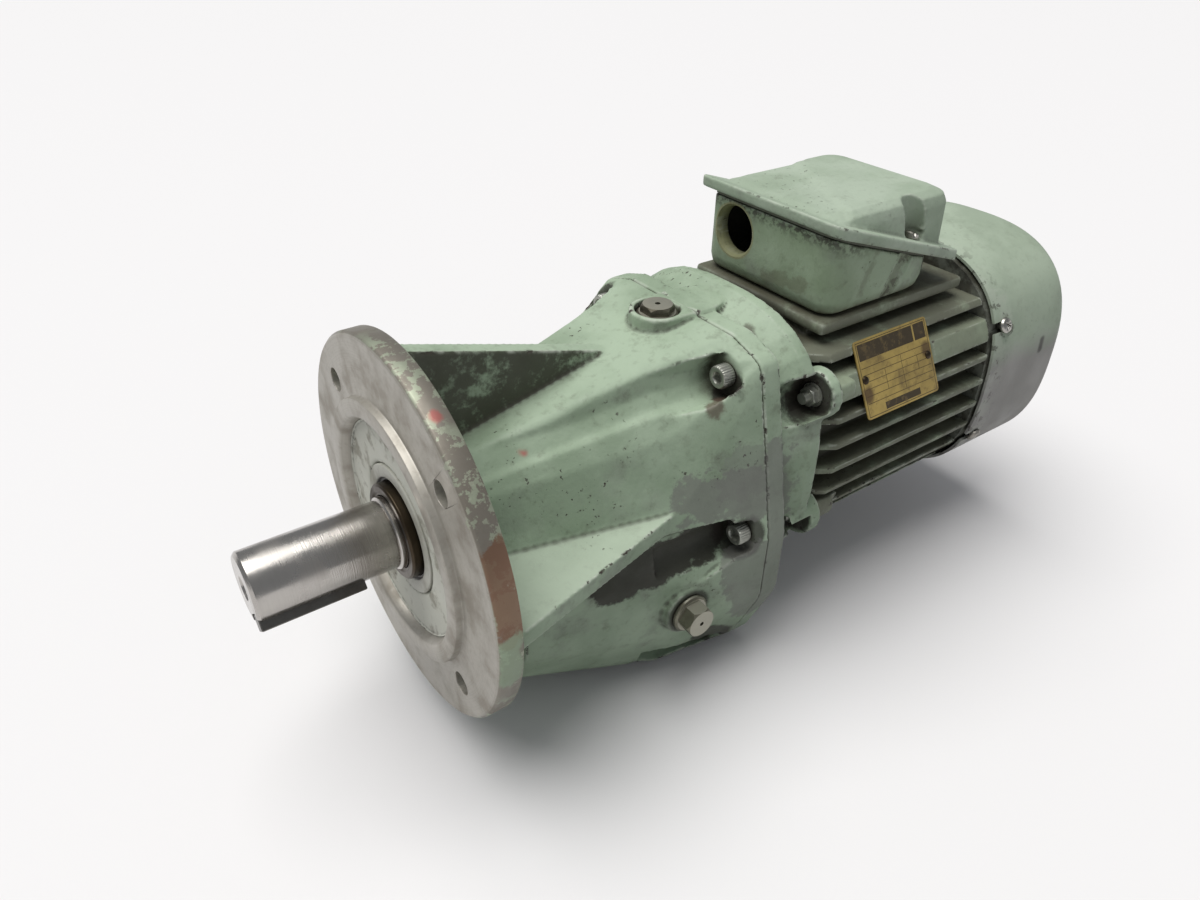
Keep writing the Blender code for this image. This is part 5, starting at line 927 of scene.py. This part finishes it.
def oil_plug(name, node, seat, outward, hex_height, breather=False):
    """Hexagon plug on a sealing ring, with a vent bore if asked."""
    collar = turned(name, [
        (-0.005, 0.0), (-0.005, 0.0055), (0.0003, 0.0055), (0.0003, 0.0086), (0.001, 0.009), (0.0019, 0.0089),
        (0.0026, 0.008), (0.0026, 0.0)], 64)
    carve(collar, [hexagon("hex", PLUG_HEX_RADIUS, hex_height, shift((0.0022, 0.0, 0.0)))], "UNION")
    bore = 0.0012 if breather else 0.001
    carve(collar, [peg("centre", (hex_height - 0.001, 0, 0), (1, 0, 0), bore, 0.01, 20)])
    collar.data.transform(shift(seat) @ aim(outward))
    finish(soften(collar, 0.0002, 2), PLUG_STEEL, "housing", "dark_steel", node)


def plate_surface(across, up):
    """Height of the rating plate's slightly wavy face."""
    return PLATE_THICKNESS - 0.00012 * (1.0 + cos(across * 130.0) * cos(up * 90.0))


def data_plate():
    """Rating plate with rounded corners, and its two domed rivets."""
    half_length, half_height = PLATE_SIZE[0] / 2, PLATE_SIZE[1] / 2
    corner, columns, rows = 0.0015, 40, 30

    def spot(i, j):
        across, up = half_length * (2 * i / columns - 1), half_height * (2 * j / rows - 1)
        over = Vector((max(0.0, abs(across) - (half_length - corner)), max(0.0, abs(up) - (half_height - corner))))
        if over.x > 0.0 and over.y > 0.0 and over.length > corner:
            over *= corner / over.length
            across = (half_length - corner + over.x) * (1 if across > 0 else -1)
            up = (half_height - corner + over.y) * (1 if up > 0 else -1)
        return across, up

    def build(work):
        top, under = {}, {}
        for i in range(columns + 1):
            for j in range(rows + 1):
                across, up = spot(i, j)
                top[i, j] = work.verts.new((across, up, plate_surface(across, up)))
                under[i, j] = work.verts.new((across, up, 0.00005))
        for i in range(columns):
            for j in range(rows):
                corners = ((i, j), (i + 1, j), (i + 1, j + 1), (i, j + 1))
                work.faces.new([top[key] for key in corners])
                work.faces.new([under[key] for key in reversed(corners)])
        edge = [(i, 0) for i in range(columns)] + [(columns, j) for j in range(rows)]
        edge += [(i, rows) for i in range(columns, 0, -1)] + [(0, j) for j in range(rows, 0, -1)]
        for first, second in zip(edge, edge[1:] + edge[:1]):
            work.faces.new((top[first], under[first], under[second], top[second]))
    plate = loose("data_plate", bare_mesh("data_plate", build))
    stand = shift(PLATE_CENTRE) @ Matrix.Rotation(pi / 2 - PLATE_TILT, 4, "X")
    plate.matrix_world = HOME @ stand
    finish(soften(plate, 0.00012, 2), BRASS_PLATE, "housing", "plate_brass", "rating_plate")
    for index, across in enumerate((-half_length + RIVET_INSET, half_length - RIVET_INSET)):
        seat = shift((across, 0.0, plate_surface(across, 0.0)))
        head = turned("rivet_%d" % (index + 1), [
            (-0.004, 0.0), (-0.004, 0.001), (-0.0001, 0.001), (-0.0001, 0.0019), (0.0003, 0.0018),
            (0.0007, 0.0014), (0.001, 0.0007), (0.0011, 0.0)], 32, matrix=stand @ seat @ aim((0, 0, 1)))
        finish(head, BRONZE, "housing", "zinc", "plate_rivet_%d" % (index + 1))


def lid_screws():
    """Slotted cheese head screws of the lid."""
    normal = Vector((sin(PARTING_SLOPE), 0.0, cos(PARTING_SLOPE)))
    for across, label in ((-1, "near"), (1, "far")):
        seat = Vector((LID_SCREW_SEAT[0], across * LID_SCREW_SEAT[1], LID_SCREW_SEAT[2])) + normal * 0.0002
        screw = turned("lid_bolt_" + label, [
            (-0.01, 0.0), (-0.01, 0.0019), (0.0, 0.0019), (0.0, 0.0034), (0.0003, 0.0035), (0.0022, 0.0034),
            (0.0027, 0.0028), (0.0028, 0.0)], 40)
        carve(screw, [block("groove", (0.0014, -0.005, -0.0005), (0.004, 0.005, 0.0005),
                            Matrix.Rotation(0.5 * across, 4, "X"))])
        screw.data.transform(shift(seat) @ aim(normal))
        finish(screw, ZINC, "housing", "zinc", "lid_screw_" + label)


def squircle(half, power, count):
    """Points of a round cornered square."""
    points = []
    for step in range(count):
        angle = 2 * pi * step / count
        reach = half / (abs(cos(angle)) ** power + abs(sin(angle)) ** power) ** (1 / power)
        points.append((reach * cos(angle), reach * sin(angle)))
    return points


def fan_cover():
    """Deep drawn cover with a rounded rear edge, air slots and notches for its screws."""
    count = 128
    stations = [(COVER_FRONT + 0.0002, 0.0)]
    stations += [(COVER_END - COVER_EDGE - 0.04 + 0.008 * step, 0.0) for step in range(6)]
    for step in range(1, 11):
        angle = pi / 2 * step / 10
        stations.append((COVER_END - COVER_EDGE * (1 - sin(angle)), COVER_EDGE * (1 - cos(angle))))
    for inset in (0.016, 0.024, 0.034, 0.044, 0.054):
        stations.append((COVER_END, inset))

    def build(work):
        rings = []
        for along, inset in stations:
            power = COVER_POWER - 0.7 * min(1.0, max(0.0, inset - 0.01) / 0.04)
            rings.append([work.verts.new((along, side, height))
                          for side, height in squircle(COVER_HALF - inset, power, count)])
        loft(work, rings, rings[-1])
    cover = loose("fan_hood", bare_mesh("fan_hood", build, 60.0))
    shell = cover.modifiers.new("shell", "SOLIDIFY")
    shell.thickness = COVER_SHELL
    shell.offset = -1.0
    shell.use_even_offset = True
    settle(cover)
    tools = []
    for ring in range(3):
        inner = AIR_SLOT_START + AIR_SLOT_PITCH * ring
        for slot in range(6):
            start = 2 * pi * (slot + ring % 2 * 0.5) / 6 + radians(7.0)
            sweep = 2 * pi / 6 - radians(14.0)
            tools.append(air_slot("slot_%d_%d" % (ring, slot), inner, inner + AIR_SLOT_WIDTH, start, sweep))
    for index, angle in enumerate(COVER_SCREW_ANGLES):
        outward = radial(angle, 1.0, 0.0)
        inner = radial(angle, COVER_SCREW_SEAT - 0.012, COVER_SCREW_STATION)
        tools.append(peg("notch_%d" % index, inner, outward, 0.0026, 0.022, 24))
        rotate = Matrix.Rotation(-angle, 4, "X")
        tools.append(block("mouth_%d" % index, (COVER_FRONT - 0.002, -0.08, -0.0026),
                           (COVER_SCREW_STATION, -0.055, 0.0026), rotate))
    carve(cover, tools)
    finish(soften(cover, 0.0004, 2, 45.0), HOOD_PAINT, "housing", "cover_paint", "fan_cover")


def air_slot(name, inner, outer, start, sweep, steps=10):
    """A curved slot cutter through the cover's end."""

    def build(work):
        rings = []
        for along in (COVER_END - 0.006, COVER_END + 0.006):
            angles = [start + sweep * step / steps for step in range(steps + 1)]
            points = [(along, outer * cos(angle), outer * sin(angle)) for angle in angles]
            points += [(along, inner * cos(angle), inner * sin(angle)) for angle in reversed(angles)]
            rings.append([work.verts.new(point) for point in points])
        loft(work, rings, *rings)
    return loose(name, bare_mesh(name, build))


def cover_screws():
    """Cross head screws of the fan cover."""
    for index, angle in enumerate(COVER_SCREW_ANGLES):
        screw = turned("hood_screw_%d" % (index + 1), [
            (-0.0078, 0.0), (-0.0078, 0.0019), (0.0, 0.0019), (0.0, 0.0039), (0.0008, 0.0039), (0.0017, 0.0033),
            (0.0023, 0.002), (0.0025, 0.0)], 40)
        carve(screw, [block("a", (0.0014, -0.0022, -0.0004), (0.004, 0.0022, 0.0004)),
                      block("b", (0.0014, -0.0004, -0.0022), (0.004, 0.0004, 0.0022))])
        seat = radial(angle, COVER_SCREW_SEAT + 0.0002, COVER_SCREW_STATION)
        screw.data.transform(
            shift(seat) @ aim(radial(angle, 1.0, 0.0)) @ Matrix.Rotation(0.5, 4, "X"))
        finish(screw, ZINC, "housing", "zinc", "cover_screw_%d" % (index + 1))


def floor_material():
    """Pale floor; what it throws back on the object is toned down, and what the camera sees isn't."""
    made = Shader("floor")
    path = made.node("LightPath")
    seen = made.math("MAXIMUM", path.outputs["Is Camera Ray"], path.outputs["Is Glossy Ray"])
    seen = made.math("MAXIMUM", seen, path.outputs["Is Transmission Ray"])
    made.colour = made.blend(seen, FLOOR_BOUNCE, FLOOR_SEEN)
    return made.finish(0.85)


def studio():
    """Floor, lamp, world and camera."""
    def build(work):
        bmesh.ops.create_grid(work, x_segments=1, y_segments=1, size=FLOOR_HALF)
    floor = placed("floor", bare_mesh("floor", build))
    floor.data.materials.append(floor_material())
    world = bpy.data.worlds.new("studio")
    world.use_nodes = True
    sky = world.node_tree.nodes["Background"]
    sky.inputs["Color"].default_value = SKY_COLOUR
    level = world.node_tree.nodes.new("ShaderNodeMapRange")
    level.inputs["To Min"].default_value = SKY_LEVEL
    level.inputs["To Max"].default_value = BACKDROP_LEVEL
    path = world.node_tree.nodes.new("ShaderNodeLightPath")
    world.node_tree.links.new(path.outputs["Is Camera Ray"], level.inputs["Value"])
    world.node_tree.links.new(level.outputs["Result"], sky.inputs["Strength"])
    bpy.context.scene.world = world
    toward = Vector(LAMP_TOWARD)
    lamp = bpy.data.lights.new("key", "SUN")
    lamp.energy = LAMP_POWER
    lamp.angle = LAMP_ANGLE
    lamp.color = LAMP_COLOUR
    holder = placed("key", lamp)
    holder.location = toward * 2.0
    holder.rotation_euler = (-toward).to_track_quat("-Z", "Y").to_euler()
    camera = placed("camera", bpy.data.cameras.new("camera"))
    camera.data.sensor_width = SENSOR
    camera.data.lens = FOCAL_PIXELS / IMAGE_WIDTH * SENSOR
    axes = Matrix((CAMERA_RIGHT, CAMERA_UP, CAMERA_BACK)).transposed().to_4x4()
    camera.matrix_world = HOME @ shift(CAMERA_PLACE) @ axes
    bpy.context.scene.camera = camera
    bpy.context.scene.view_settings.view_transform = "Standard"


gear_case()
gear_cover()
motor_frame()
connection_box()
box_lid()
flange_plate()
shaft_end()
sleeve_and_seal()
case_screws()
stud_nuts()
oil_plug("breather", "vent_plug", VENT_PLACE, (0, 0, 1), 0.0038, True)
oil_plug("level_screw", "level_plug", LEVEL_PLACE, (0, -1, 0), 0.007)
oil_plug("drain_screw", "drain_plug", DRAIN_PLACE, (0, 1, 0), 0.004)
data_plate()
lid_screws()
fan_cover()
cover_screws()
studio()
